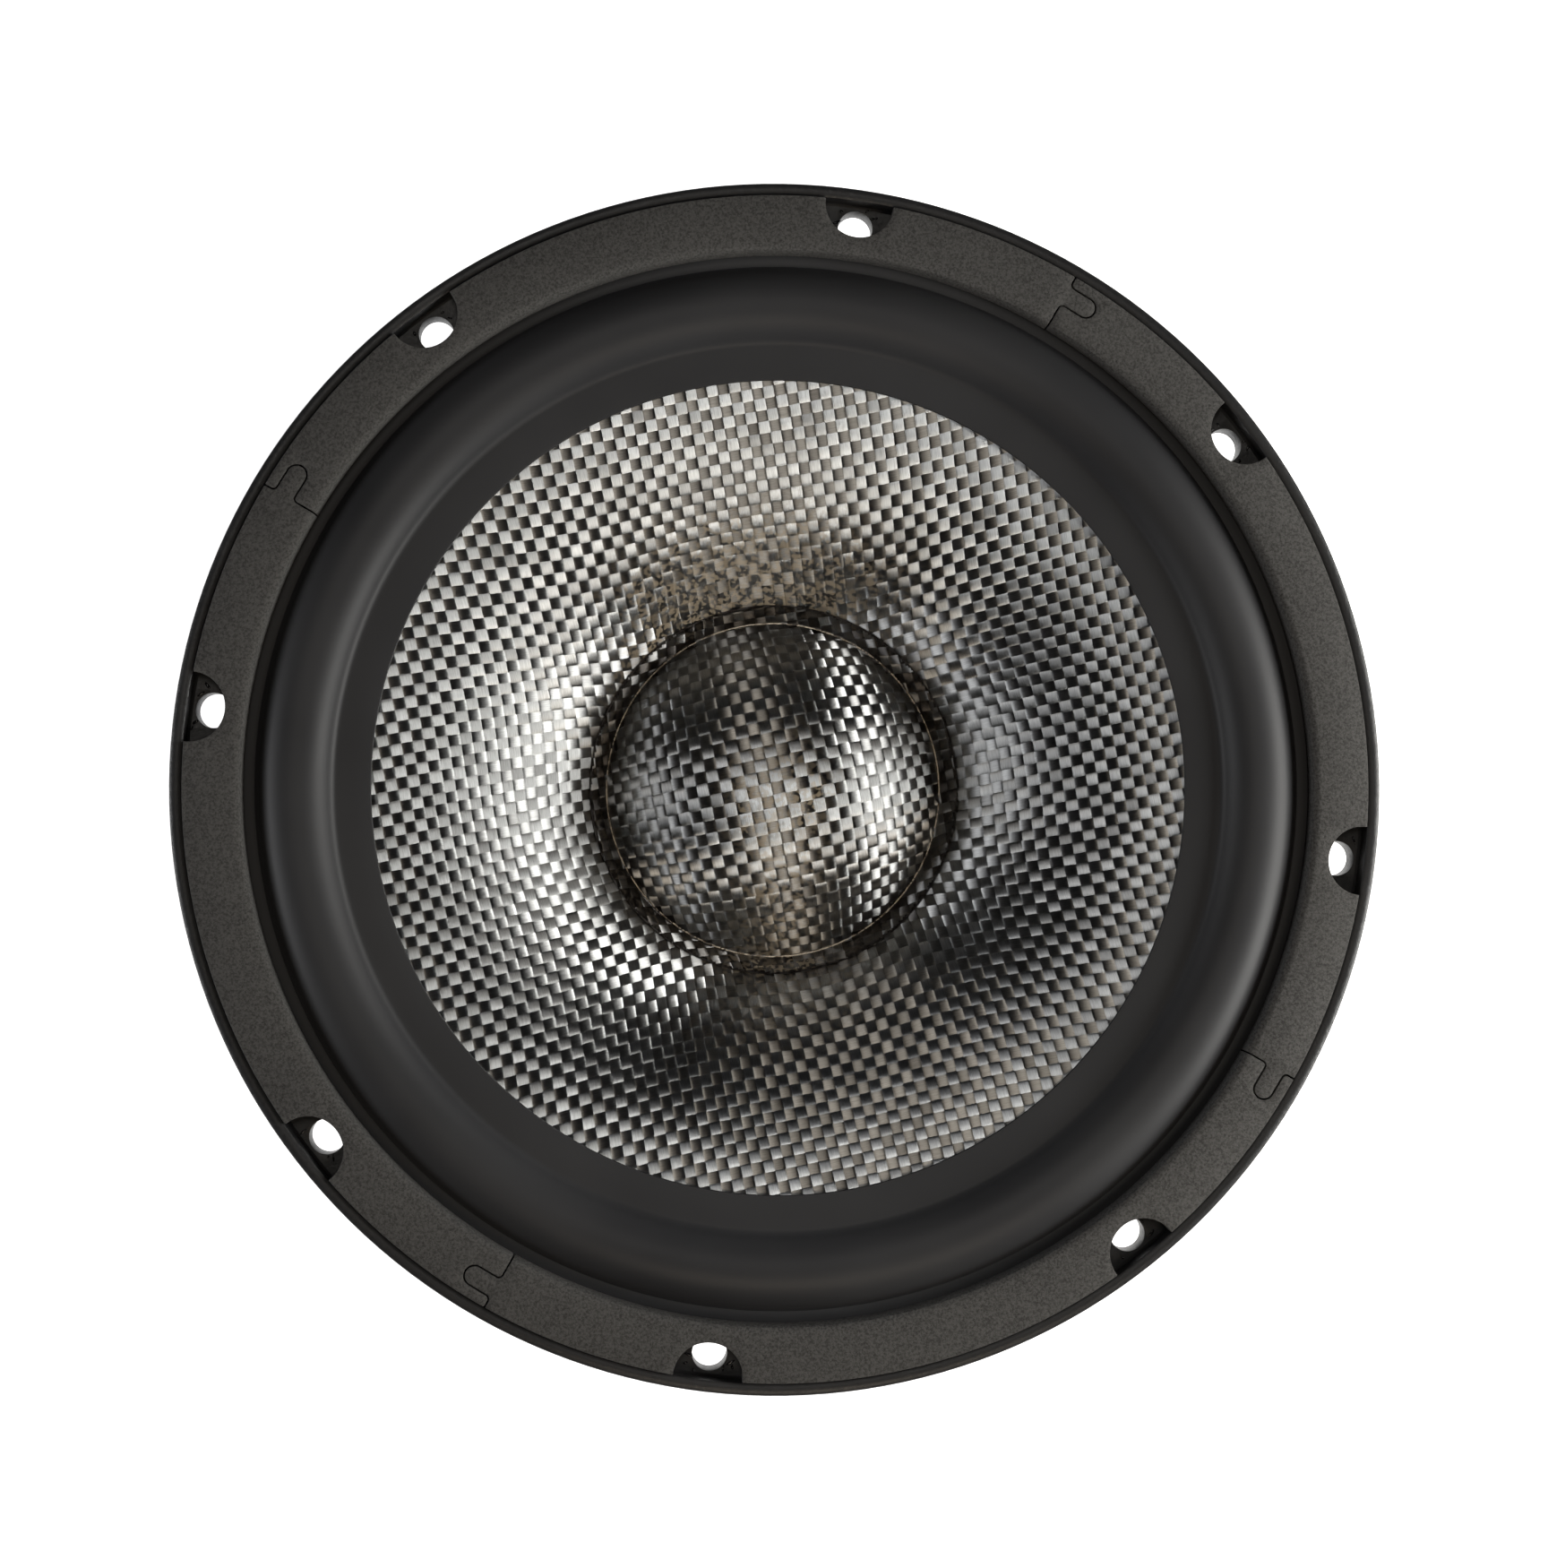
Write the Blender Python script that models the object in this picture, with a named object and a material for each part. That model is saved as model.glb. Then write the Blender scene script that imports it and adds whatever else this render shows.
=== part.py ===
"""A 210 mm (nominal 8 inch) moving-coil car loudspeaker with a woven cone and a woven dust cap.

The speaker lies face up on the back of its magnet: the axis is +Z and the origin is at the
middle of the magnet boot's bottom face. Every size below is in millimetres.
"""

import bmesh
import bpy
from math import cos, pi, radians, sin
from mathutils import Matrix, Vector

MM = 0.001
FINE_STEPS = 56
ROUND_STEPS = 48

# Frame casting.
RIM_R = 105.0
LIP_IN_R = 103.2
LIP_TOP_Z = 87.4
FLANGE_REAR_Z = 80.0
FLANGE_FLOOR_Z = 84.0
SURROUND_STEP_R = 95.2
SURROUND_STEP_Z = 82.7
LEG_COUNT = 6
LEG_FIRST_DEG = 0.0
WINDOW_HALF_DEG = 22.0
WINDOW_LOW_Z = 51.0
WINDOW_HIGH_Z = 72.5
SEAT_LOW_Z = 37.2
SEAT_TOP_Z = 41.2

# Mounting holes and gasket.
HOLE_COUNT = 8
HOLE_FIRST_DEG = 37.5
HOLE_CIRCLE_R = 98.9
HOLE_R = 3.05
GASKET_LOW_Z = 84.3
GASKET_TOP_Z = 88.0
GASKET_IN_R = 92.9
GASKET_OUT_R = 102.7
GASKET_SEGMENTS = 4
GASKET_JOINT_DEG = 60.0
NOTCH_R = 6.0
NOTCH_CENTRE_R = 102.3
TAB_CENTRE_R = 98.95
TAB_HALF_WIDTH = 1.75
TAB_LENGTH = 5.9
TAB_ROOT_FILLET = 0.8
JOINT_HALF_GAP = 0.15

# Moving parts.
ROLL_IN_R = 77.9
ROLL_OUT_R = 91.0
ROLL_FOOT_Z = 83.5
ROLL_HEIGHT = 4.1
SURROUND_THICK = 0.8
SURROUND_IN_R = 71.4
SURROUND_OUT_R = 94.7
CONE_THICK = 0.7
CAP_EDGE_R = 31.1
CAP_FLANGE_R = 34.2
CAP_EDGE_Z = 55.6
CAP_HEIGHT = 15.0
CAP_THICK = 0.6
COIL_IN_R = 25.1
FORMER_WALL = 0.25
FORMER_LOW_Z = 22.6
FORMER_TOP_Z = 53.2
WINDING_LOW_Z = 22.9
WINDING_TOP_Z = 42.9
WINDING_OUT_R = 26.35
SPIDER_Z = 46.9
SPIDER_OUT_R = 60.6
SPIDER_WAVES = 4
SPIDER_WAVE_HEIGHT = 1.2
SPIDER_THICK = 0.6

# Motor.
BOOT_OUT_R = 62.6
BOOT_WALL = 2.0
BOOT_TOP_Z = 33.5
YOKE_LOW_Z = 2.3
YOKE_TOP_Z = 10.3
YOKE_R = 56.0
POLE_R = 23.9
POLE_TOP_Z = 38.9
VENT_R = 9.0
MAGNET_IN_R = 33.0
MAGNET_OUT_R = 60.0
MAGNET_TOP_Z = 28.6
PLATE_LOW_Z = 28.9
PLATE_TOP_Z = 36.9
PLATE_IN_R = 27.0
PLATE_OUT_R = 56.0
SCREW_COUNT = 4
SCREW_FIRST_DEG = 47.0
SCREW_CIRCLE_R = 50.5
SCREW_R = 2.5
SCREW_HEAD_R = 4.3

# Terminals, on the +Y side.
PAD_FACE_Y = 70.0
PAD_HALF_WIDTH = 16.0
PAD_TOP_Z = 49.0
BOARD_THICK = 2.0
BLADE_X = 8.5
TERMINAL_Z = 55.0
LEAD_R = 0.9

CONE_FRONT = [
    (77.2, 81.9),
    (71.9, 81.9),
    (63.0, 78.5),
    (54.5, 74.4),
    (46.0, 69.4),
    (39.5, 64.4),
    (35.0, 59.9),
    (31.0, 54.6),
    (25.9, 48.7),
]


def clear_scene():
    for obj in list(bpy.data.objects):
        bpy.data.objects.remove(obj, do_unlink=True)


def material(name, colour, roughness, metallic=0.0):
    made = bpy.data.materials.new(name)
    made.use_nodes = True
    shader = made.node_tree.nodes["Principled BSDF"]
    shader.inputs["Base Color"].default_value = (*colour, 1.0)
    shader.inputs["Roughness"].default_value = roughness
    shader.inputs["Metallic"].default_value = metallic
    return made


def new_object(name, points, faces, look):
    """One closed mesh, its points in millimetres, with its normals facing out."""
    mesh = bpy.data.meshes.new(name)
    mesh.from_pydata([Vector(point) * MM for point in points], [], faces)
    tidy = bmesh.new()
    tidy.from_mesh(mesh)
    bmesh.ops.recalc_face_normals(tidy, faces=tidy.faces)
    tidy.to_mesh(mesh)
    tidy.free()
    obj = bpy.data.objects.new(name, mesh)
    bpy.context.scene.collection.objects.link(obj)
    if look:
        mesh.materials.append(look)
    return obj


def cutter(obj):
    obj.hide_render = True
    obj.display_type = "WIRE"
    return obj


def boolean(obj, operation, other):
    modifier = obj.modifiers.new(f"{operation.title()} {other.name}", "BOOLEAN")
    modifier.operation = operation
    modifier.solver = "EXACT"
    modifier.object = other


def lathe(name, profile, steps, look):
    """The closed profile, a list of (radius, height), turned about Z."""
    count = len(profile)
    points = []
    faces = []
    for step in range(steps):
        angle = 2 * pi * step / steps
        points += [(r * cos(angle), r * sin(angle), z) for r, z in profile]
        after = (step + 1) % steps
        for i in range(count):
            j = (i + 1) % count
            faces.append(
                (step * count + i, step * count + j, after * count + j, after * count + i)
            )
    return new_object(name, points, faces, look)


def turned_cap(name, top, under, steps, look):
    """A dished disc with no hole: two lists of (radius, height) that both start on the axis."""
    rings = top[1:] + under[:0:-1]
    count = len(rings)
    points = [(0, 0, top[0][1]), (0, 0, under[0][1])]
    faces = []
    for step in range(steps):
        angle = 2 * pi * step / steps
        points += [(r * cos(angle), r * sin(angle), z) for r, z in rings]
        here = 2 + step * count
        there = 2 + (step + 1) % steps * count
        faces.append((0, here, there))
        faces.append((1, there + count - 1, here + count - 1))
        for i in range(count - 1):
            faces.append((here + i, here + i + 1, there + i + 1, there + i))
    return new_object(name, points, faces, look)


def side_faces(count):
    """The faces between two equal outlines, and the two ends."""
    faces = [tuple(range(count)), tuple(range(2 * count - 1, count - 1, -1))]
    for i in range(count):
        j = (i + 1) % count
        faces.append((i, j, j + count, i + count))
    return faces


def prism(name, outline, low, high, look=None):
    """A plan outline, a list of (x, y), pulled up from low to high."""
    count = len(outline)
    points = [(x, y, low) for x, y in outline] + [(x, y, high) for x, y in outline]
    return new_object(name, points, side_faces(count), look)


def disc_outline(x, y, radius, steps):
    return [
        (x + radius * cos(2 * pi * i / steps), y + radius * sin(2 * pi * i / steps))
        for i in range(steps)
    ]


def polar(radius, degrees):
    return radius * cos(radians(degrees)), radius * sin(radians(degrees))


def arc(centre, radius, first_deg, last_deg, steps):
    return [
        (
            centre[0] + radius * cos(radians(first_deg + (last_deg - first_deg) * i / steps)),
            centre[1] + radius * sin(radians(first_deg + (last_deg - first_deg) * i / steps)),
        )
        for i in range(steps + 1)
    ]


def offset_profile(front, thick):
    """The same line moved square to itself, to the right of its travel."""
    moved = []
    for i, (r, z) in enumerate(front):
        before = Vector(front[max(i - 1, 0)])
        after = Vector(front[min(i + 1, len(front) - 1)])
        along = (after - before).normalized()
        moved.append((r + along.y * thick, z - along.x * thick))
    return moved


def window_cutter(index):
    """A radial prism with rounded corners, one opening between two legs."""
    middle = LEG_FIRST_DEG + 360 / LEG_COUNT * (index + 0.5)
    corner = 4.5
    mean_r = 80.0
    half_low = radians(WINDOW_HALF_DEG - 2.5) * mean_r
    half_high = radians(WINDOW_HALF_DEG) * mean_r
    outline = []
    outline += arc((half_low - corner, WINDOW_LOW_Z + corner), corner, -90, 0, 3)
    outline += arc((half_high - corner, WINDOW_HIGH_Z - corner), corner, 0, 90, 3)
    outline += [(half_high * part, WINDOW_HIGH_Z) for part in (0.55, 0.2, -0.2, -0.55)]
    outline += arc((-half_high + corner, WINDOW_HIGH_Z - corner), corner, 90, 180, 3)
    outline += arc((-half_low + corner, WINDOW_LOW_Z + corner), corner, 180, 270, 3)
    outline += [(half_low * part, WINDOW_LOW_Z) for part in (-0.55, -0.2, 0.2, 0.55)]
    count = len(outline)
    points = []
    for radius in (58.0, 112.0):
        for across, height in outline:
            angle = middle + across / mean_r * 180 / pi
            points.append((*polar(radius, angle), height))
    return cutter(new_object(f"window_cutter_{index}", points, side_faces(count), None))


def leg_rib(index):
    """A stiffening web behind one leg, square to the rim."""
    angle = LEG_FIRST_DEG + 360 / LEG_COUNT * index
    half = 1.6
    section = [(62.5, 45.0), (66.6, 45.0), (97.6, 76.5), (97.6, 80.6), (89.5, 74.5), (63.5, 48.0)]
    along = Vector((cos(radians(angle)), sin(radians(angle))))
    across = Vector((-along.y, along.x))
    points = []
    for side in (-half, half):
        for r, z in section:
            spot = along * r + across * side
            points.append((spot.x, spot.y, z))
    return cutter(new_object(f"leg_rib_{index}", points, side_faces(len(section)), None))


def terminal_pad():
    """The cast block on the +Y side that carries the terminal board."""
    section = [
        (57.0, 38.1),
        (PAD_FACE_Y, 38.1),
        (PAD_FACE_Y, PAD_TOP_Z),
        (65.2, PAD_TOP_Z),
        (62.9, 45.7),
        (57.0, 45.5),
    ]
    points = []
    for side in (-PAD_HALF_WIDTH, PAD_HALF_WIDTH):
        points += [(side, y, z) for y, z in section]
    return cutter(new_object("terminal_pad", points, side_faces(len(section)), None))


def screw_angles():
    return [SCREW_FIRST_DEG + 360 / SCREW_COUNT * i for i in range(SCREW_COUNT)]


def build_basket(look):
    profile = [
        (44.0, SEAT_LOW_Z),
        (62.0, SEAT_LOW_Z),
        (62.4, 44.0),
        (64.6, 46.2),
        (92.4, 74.0),
        (93.4, 76.5),
        (93.8, FLANGE_REAR_Z),
        (104.4, FLANGE_REAR_Z),
        (RIM_R, FLANGE_REAR_Z + 0.7),
        (RIM_R, LIP_TOP_Z - 0.6),
        (104.4, LIP_TOP_Z),
        (LIP_IN_R, LIP_TOP_Z),
        (LIP_IN_R, FLANGE_FLOOR_Z),
        (SURROUND_STEP_R, FLANGE_FLOOR_Z),
        (SURROUND_STEP_R, SURROUND_STEP_Z),
        (90.8, SURROUND_STEP_Z),
        (90.2, 76.5),
        (89.2, 74.6),
        (62.6, 48.2),
        (61.8, 46.0),
        (55.6, 46.0),
        (55.6, SEAT_TOP_Z),
        (44.0, SEAT_TOP_Z),
    ]
    basket = lathe("basket", profile, FINE_STEPS, look)
    for index in range(LEG_COUNT):
        boolean(basket, "UNION", leg_rib(index))
    for index in range(LEG_COUNT):
        boolean(basket, "DIFFERENCE", window_cutter(index))
    boolean(basket, "UNION", terminal_pad())
    for index in range(HOLE_COUNT):
        x, y = polar(HOLE_CIRCLE_R, HOLE_FIRST_DEG + 360 / HOLE_COUNT * index)
        hole = prism(f"hole_cutter_{index}", disc_outline(x, y, HOLE_R, 24), 78.0, 86.0)
        boolean(basket, "DIFFERENCE", cutter(hole))
    for index, angle in enumerate(screw_angles()):
        x, y = polar(SCREW_CIRCLE_R, angle)
        shank = prism(f"shank_cutter_{index}", disc_outline(x, y, SCREW_R + 0.4, 16), 36.0, 40.0)
        seat = prism(
            f"seat_cutter_{index}", disc_outline(x, y, SCREW_HEAD_R + 0.4, 20), 39.2, 42.0
        )
        boolean(basket, "DIFFERENCE", cutter(shank))
        boolean(basket, "DIFFERENCE", cutter(seat))
    rivet_hole = prism("pad_rivet_cutter", disc_outline(0, 43.5, 1.9, 12), 60.0, 74.0)
    boolean(basket, "DIFFERENCE", cutter(stand_up(rivet_hole)))
    return basket


def stand_up(obj):
    """Turns a prism drawn in X and Y and pulled along Z into one drawn in X and Z, along +Y."""
    obj.data.transform(Matrix(((1, 0, 0, 0), (0, 0, 1, 0), (0, 1, 0, 0), (0, 0, 0, 1))))
    obj.data.flip_normals()
    return obj


def joint_line(half_gap_side):
    """The jigsaw line as (radius, arc) pairs from outside to inside, the arc counted against
    the clock. Side +1 is the edge of the segment with the tab, -1 that of its socket."""
    base = JOINT_HALF_GAP * half_gap_side
    half = TAB_HALF_WIDTH - base
    fillet = TAB_ROOT_FILLET + base
    tip = -TAB_LENGTH + base
    top = TAB_CENTRE_R + half
    low = TAB_CENTRE_R - half
    line = [(105.5, base)]
    line += [
        (top + fillet - fillet * sin(a), base - fillet + fillet * cos(a))
        for a in [pi / 2 * i / 3 for i in range(4)]
    ]
    line += [
        (TAB_CENTRE_R + half * cos(a), tip + half - half * sin(a))
        for a in [pi * i / 8 for i in range(9)]
    ]
    line += [
        (low - fillet + fillet * cos(a), base - fillet + fillet * sin(a))
        for a in [pi / 2 * i / 3 for i in range(4)]
    ]
    line.append((90.0, base))
    return line


def build_gasket(look):
    profile = [
        (GASKET_IN_R, GASKET_LOW_Z),
        (GASKET_OUT_R, GASKET_LOW_Z),
        (GASKET_OUT_R, GASKET_TOP_Z - 0.3),
        (GASKET_OUT_R - 0.3, GASKET_TOP_Z),
        (94.2, GASKET_TOP_Z),
        (93.2, GASKET_TOP_Z - 0.5),
        (GASKET_IN_R, GASKET_TOP_Z - 1.6),
    ]
    pitch = 360 / GASKET_SEGMENTS
    for index in range(GASKET_SEGMENTS):
        start = GASKET_JOINT_DEG + pitch * index
        segment = lathe(f"gasket_segment_{index + 1}", profile, FINE_STEPS, look)
        outline = []
        for radius, along in joint_line(1):
            outline.append(polar(radius, start + along / TAB_CENTRE_R * 180 / pi))
        for step in range(1, 12):
            outline.append(polar(90.0, start + pitch * step / 12))
        for radius, along in reversed(joint_line(-1)):
            outline.append(polar(radius, start + pitch + along / TAB_CENTRE_R * 180 / pi))
        for step in range(11, 0, -1):
            outline.append(polar(105.5, start + pitch * step / 12))
        keep = prism(f"segment_keep_{index}", outline, 83.0, 89.5)
        boolean(segment, "INTERSECT", cutter(keep))
        for number in range(2):
            x, y = polar(NOTCH_CENTRE_R, start + 22.5 + 45 * number)
            notch = prism(
                f"notch_cutter_{index}_{number}", disc_outline(x, y, NOTCH_R, 32), 83.0, 90.0
            )
            boolean(segment, "DIFFERENCE", cutter(notch))


def build_surround(look):
    half = (ROLL_OUT_R - ROLL_IN_R) / 2
    middle = (ROLL_OUT_R + ROLL_IN_R) / 2
    radius = (half**2 + ROLL_HEIGHT**2) / (2 * ROLL_HEIGHT)
    centre = (middle, ROLL_FOOT_Z + ROLL_HEIGHT - radius)
    reach = 57.0
    roll = arc(centre, radius, 90 - reach, 90 + reach, 7)
    front = [(SURROUND_OUT_R, 83.9), (ROLL_OUT_R + 0.4, 83.9)]
    front += roll
    front += [(ROLL_IN_R - 0.4, 83.2), (SURROUND_IN_R, 83.1)]
    under = [(SURROUND_OUT_R, 83.1), (ROLL_OUT_R + 0.6, 83.1)]
    under += arc(centre, radius - SURROUND_THICK, 90 - reach, 90 + reach, 6)
    under += [(ROLL_IN_R - 0.6, 82.4), (SURROUND_IN_R, 82.3)]
    return lathe("surround", front + under[::-1], ROUND_STEPS, look)


def build_cone(look):
    back = offset_profile(CONE_FRONT, -CONE_THICK)
    back[0] = (CONE_FRONT[0][0], CONE_FRONT[0][1] - CONE_THICK)
    back[-1] = (CONE_FRONT[-1][0], CONE_FRONT[-1][1] - 1.3)
    return lathe("cone", CONE_FRONT + back[::-1], ROUND_STEPS, look)


def build_dust_cap(look):
    radius = (CAP_EDGE_R**2 + CAP_HEIGHT**2) / (2 * CAP_HEIGHT)
    top_z = CAP_EDGE_Z + CAP_HEIGHT
    ratios = [0.0, 0.3, 0.55, 0.8, 1.0]
    top = []
    under = []
    for ratio in ratios:
        r = CAP_EDGE_R * ratio
        top.append((r, top_z - radius + (radius**2 - r**2) ** 0.5))
        inner = radius - CAP_THICK
        r_in = r * inner / radius
        under.append((r_in, top_z - radius + (inner**2 - r_in**2) ** 0.5))
    top.append((CAP_FLANGE_R, 59.8))
    under[-1] = (CAP_EDGE_R + 0.1, CAP_EDGE_Z - 0.45)
    under.append((CAP_FLANGE_R + 0.2, 59.4))
    return turned_cap("dust_cap", top, under, 40, look)


def build_coil(paper, copper):
    outer = COIL_IN_R + FORMER_WALL
    tube = [
        (COIL_IN_R, FORMER_LOW_Z),
        (outer, FORMER_LOW_Z),
        (outer, FORMER_TOP_Z),
        (COIL_IN_R, FORMER_TOP_Z),
    ]
    lathe("voice_coil_former", tube, ROUND_STEPS, paper)
    wire = [
        (outer + 0.1, WINDING_LOW_Z),
        (WINDING_OUT_R, WINDING_LOW_Z),
        (WINDING_OUT_R, WINDING_TOP_Z),
        (outer + 0.1, WINDING_TOP_Z),
    ]
    lathe("voice_coil_winding", wire, ROUND_STEPS, copper)


def build_spider(look):
    front = [(SPIDER_OUT_R, SPIDER_Z + 0.3), (56.6, SPIDER_Z + 0.3)]
    inner_r = COIL_IN_R + FORMER_WALL + 0.15
    first = 29.5
    pitch = (55.4 - first) / SPIDER_WAVES
    for wave in range(SPIDER_WAVES):
        start = 55.4 - wave * pitch
        for part, height in ((0.25, 1.0), (0.75, -1.0)):
            front.append((start - part * pitch, SPIDER_Z + height * SPIDER_WAVE_HEIGHT))
    front += [(27.6, SPIDER_Z), (inner_r, SPIDER_Z)]
    under = [(r, z - SPIDER_THICK) for r, z in front]
    return lathe("spider", front + under[::-1], 40, look)


def build_motor(steel, ferrite, copper, rubber, mesh_look):
    yoke = [
        (VENT_R, YOKE_LOW_Z),
        (YOKE_R, YOKE_LOW_Z),
        (YOKE_R, YOKE_TOP_Z),
        (POLE_R, YOKE_TOP_Z),
        (POLE_R, POLE_TOP_Z),
        (VENT_R, POLE_TOP_Z),
    ]
    lathe("t_yoke", yoke, ROUND_STEPS, steel)
    sleeve = [
        (POLE_R + 0.25, 26.0),
        (POLE_R + 0.7, 26.0),
        (POLE_R + 0.7, POLE_TOP_Z + 0.8),
        (VENT_R + 0.5, POLE_TOP_Z + 0.8),
        (VENT_R + 0.5, POLE_TOP_Z + 0.35),
        (POLE_R + 0.25, POLE_TOP_Z + 0.35),
    ]
    lathe("pole_copper_cap", sleeve, ROUND_STEPS, copper)
    ring = [
        (MAGNET_IN_R, YOKE_TOP_Z + 0.3),
        (MAGNET_OUT_R, YOKE_TOP_Z + 0.3),
        (MAGNET_OUT_R, MAGNET_TOP_Z),
        (MAGNET_IN_R, MAGNET_TOP_Z),
    ]
    lathe("magnet", ring, ROUND_STEPS, ferrite)
    plate_ring = [
        (PLATE_IN_R, PLATE_LOW_Z),
        (PLATE_OUT_R, PLATE_LOW_Z),
        (PLATE_OUT_R, PLATE_TOP_Z),
        (PLATE_IN_R, PLATE_TOP_Z),
    ]
    plate = lathe("top_plate", plate_ring, ROUND_STEPS, steel)
    for index, angle in enumerate(screw_angles()):
        x, y = polar(SCREW_CIRCLE_R, angle)
        hole = prism(f"plate_hole_{index}", disc_outline(x, y, SCREW_R + 0.4, 16), 31.0, 38.0)
        boolean(plate, "DIFFERENCE", cutter(hole))
    boot = [
        (10.0, 0.4),
        (10.4, 0.0),
        (BOOT_OUT_R - 1.5, 0.0),
        (BOOT_OUT_R, 1.5),
        (BOOT_OUT_R, BOOT_TOP_Z),
        (BOOT_OUT_R - BOOT_WALL, BOOT_TOP_Z),
        (BOOT_OUT_R - BOOT_WALL, BOOT_WALL),
        (10.0, BOOT_WALL),
    ]
    lathe("magnet_boot", boot, ROUND_STEPS, rubber)
    screen = prism("vent_screen", disc_outline(0, 0, VENT_R - 0.4, 32), 3.0, 3.5, mesh_look)
    spots = [(0, 0)] + [polar(5.2, 60 * i) for i in range(6)]
    for index, (x, y) in enumerate(spots):
        hole = prism(f"screen_hole_{index}", disc_outline(x, y, 1.7, 12), 2.5, 4.0)
        boolean(screen, "DIFFERENCE", cutter(hole))


def build_screws(look):
    for index, angle in enumerate(screw_angles()):
        x, y = polar(SCREW_CIRCLE_R, angle)
        points = []
        steps = 16
        for radius, z in (
            (SCREW_R, 31.6),
            (SCREW_R, 39.5),
            (SCREW_HEAD_R, 39.5),
            (SCREW_HEAD_R, 40.8),
            (2.0, 40.8),
            (2.0, 40.0),
        ):
            points += [(px, py, z) for px, py in disc_outline(x, y, radius, steps)]
        rings = len(points) // steps
        faces = [tuple(range(steps - 1, -1, -1))]
        faces.append(tuple(range((rings - 1) * steps, rings * steps)))
        for ring in range(rings - 1):
            for i in range(steps):
                j = (i + 1) % steps
                low = ring * steps
                high = low + steps
                faces.append((low + i, low + j, high + j, high + i))
        new_object(f"frame_screw_{index + 1}", points, faces, look)


def rivet(name, x, y_head, y_end, z, radius, head_radius, look):
    """A rivet along Y: its head outside, its shank through, its formed end inside."""
    steps = 16
    points = []
    sections = (
        (head_radius, y_head),
        (head_radius, y_head - 0.8),
        (radius, y_head - 0.8),
        (radius, y_end),
    )
    for r, y in sections:
        points += [(x + px, y, z + pz) for px, pz in disc_outline(0, 0, r, steps)]
    faces = [tuple(range(steps)), tuple(range(len(points) - 1, len(points) - steps - 1, -1))]
    for ring in range(len(sections) - 1):
        for i in range(steps):
            j = (i + 1) % steps
            low = ring * steps
            high = low + steps
            faces.append((low + i, low + j, high + j, high + i))
    return new_object(name, points, faces, look)


def build_terminals(board_look, blade_look, rivet_look):
    face = PAD_FACE_Y + 0.3
    outline = [
        (-14.5, 38.8),
        (14.5, 38.8),
        (14.5, 57.5),
        (12.5, 59.5),
        (-12.5, 59.5),
        (-14.5, 57.5),
    ]
    board = prism("terminal_board", outline, face, face + BOARD_THICK, board_look)
    stand_up(board)
    hole_spots = [(0.0, 43.5, 1.9), (-BLADE_X, TERMINAL_Z, 1.6), (BLADE_X, TERMINAL_Z, 1.6)]
    for index, (x, z, radius) in enumerate(hole_spots):
        hole = prism(f"board_hole_{index}", disc_outline(x, z, radius, 16), 69.0, 74.0)
        boolean(board, "DIFFERENCE", cutter(stand_up(hole)))
    outer = face + BOARD_THICK
    rivet("board_rivet", 0.0, outer + 1.1, 62.5, 43.5, 1.5, 3.2, rivet_look)
    for name, x, width in (("blade_positive", -BLADE_X, 6.3), ("blade_negative", BLADE_X, 4.8)):
        near = outer + 0.3
        section = [
            (near, TERMINAL_Z + 3.4),
            (near, TERMINAL_Z - 7.6),
            (near + 12.0, TERMINAL_Z - 7.6),
            (near + 12.6, TERMINAL_Z - 7.2),
            (near + 12.0, TERMINAL_Z - 6.8),
            (near + 0.8, TERMINAL_Z - 6.8),
            (near + 0.8, TERMINAL_Z + 3.4),
        ]
        count = len(section)
        points = [(x - width / 2, y, z) for y, z in section]
        points += [(x + width / 2, y, z) for y, z in section]
        blade = new_object(name, points, side_faces(count), blade_look)
        hole = prism(f"{name}_hole", disc_outline(x, TERMINAL_Z, 1.6, 16), 70.0, 76.0)
        boolean(blade, "DIFFERENCE", cutter(stand_up(hole)))
        label = name.replace("blade", "rivet")
        rivet(label, x, near + 0.8 + 1.1, 69.6, TERMINAL_Z, 1.3, 2.3, rivet_look)


def lead_route(side):
    """The middle line of one tinsel lead, from its rivet to its anchor behind the cone."""
    x = side * BLADE_X
    return [
        (x, 68.9, TERMINAL_Z),
        (x, 66.0, TERMINAL_Z - 0.6),
        (x * 0.99, 61.5, 53.0),
        (x * 0.96, 56.0, 52.0),
        (x * 0.92, 50.0, 52.6),
        (x * 0.88, 44.5, 55.2),
        (x * 0.86, 40.8, 58.1),
        (x * 0.86, 38.75, 60.1),
    ]


def tube(name, route, radius, steps, look):
    """A round rod along the route, its ends flat."""
    spots = [Vector(spot) for spot in route]
    points = []
    for i, spot in enumerate(spots):
        before = spots[max(i - 1, 0)]
        after = spots[min(i + 1, len(spots) - 1)]
        along = (after - before).normalized()
        side = Vector((1, 0, 0))
        side = (side - along * side.dot(along)).normalized()
        up = along.cross(side)
        for step in range(steps):
            angle = 2 * pi * step / steps
            point = spot + (side * cos(angle) + up * sin(angle)) * radius
            points.append(tuple(point))
    faces = [tuple(range(steps)), tuple(range(len(points) - 1, len(points) - steps - 1, -1))]
    for ring in range(len(spots) - 1):
        for i in range(steps):
            j = (i + 1) % steps
            low = ring * steps
            high = low + steps
            faces.append((low + i, low + j, high + j, high + i))
    return new_object(name, points, faces, look)


def build_leads(lead_look, solder_look):
    for name, side in (("positive", -1), ("negative", 1)):
        route = lead_route(side)
        tube(f"tinsel_lead_{name}", route, LEAD_R, 8, lead_look)
        x = route[-1][0]
        spots = [(x, 37.9, 60.4), (x, 37.2, 61.05)]
        tube(f"lead_anchor_{name}", spots, 1.5, 12, solder_look)


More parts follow.
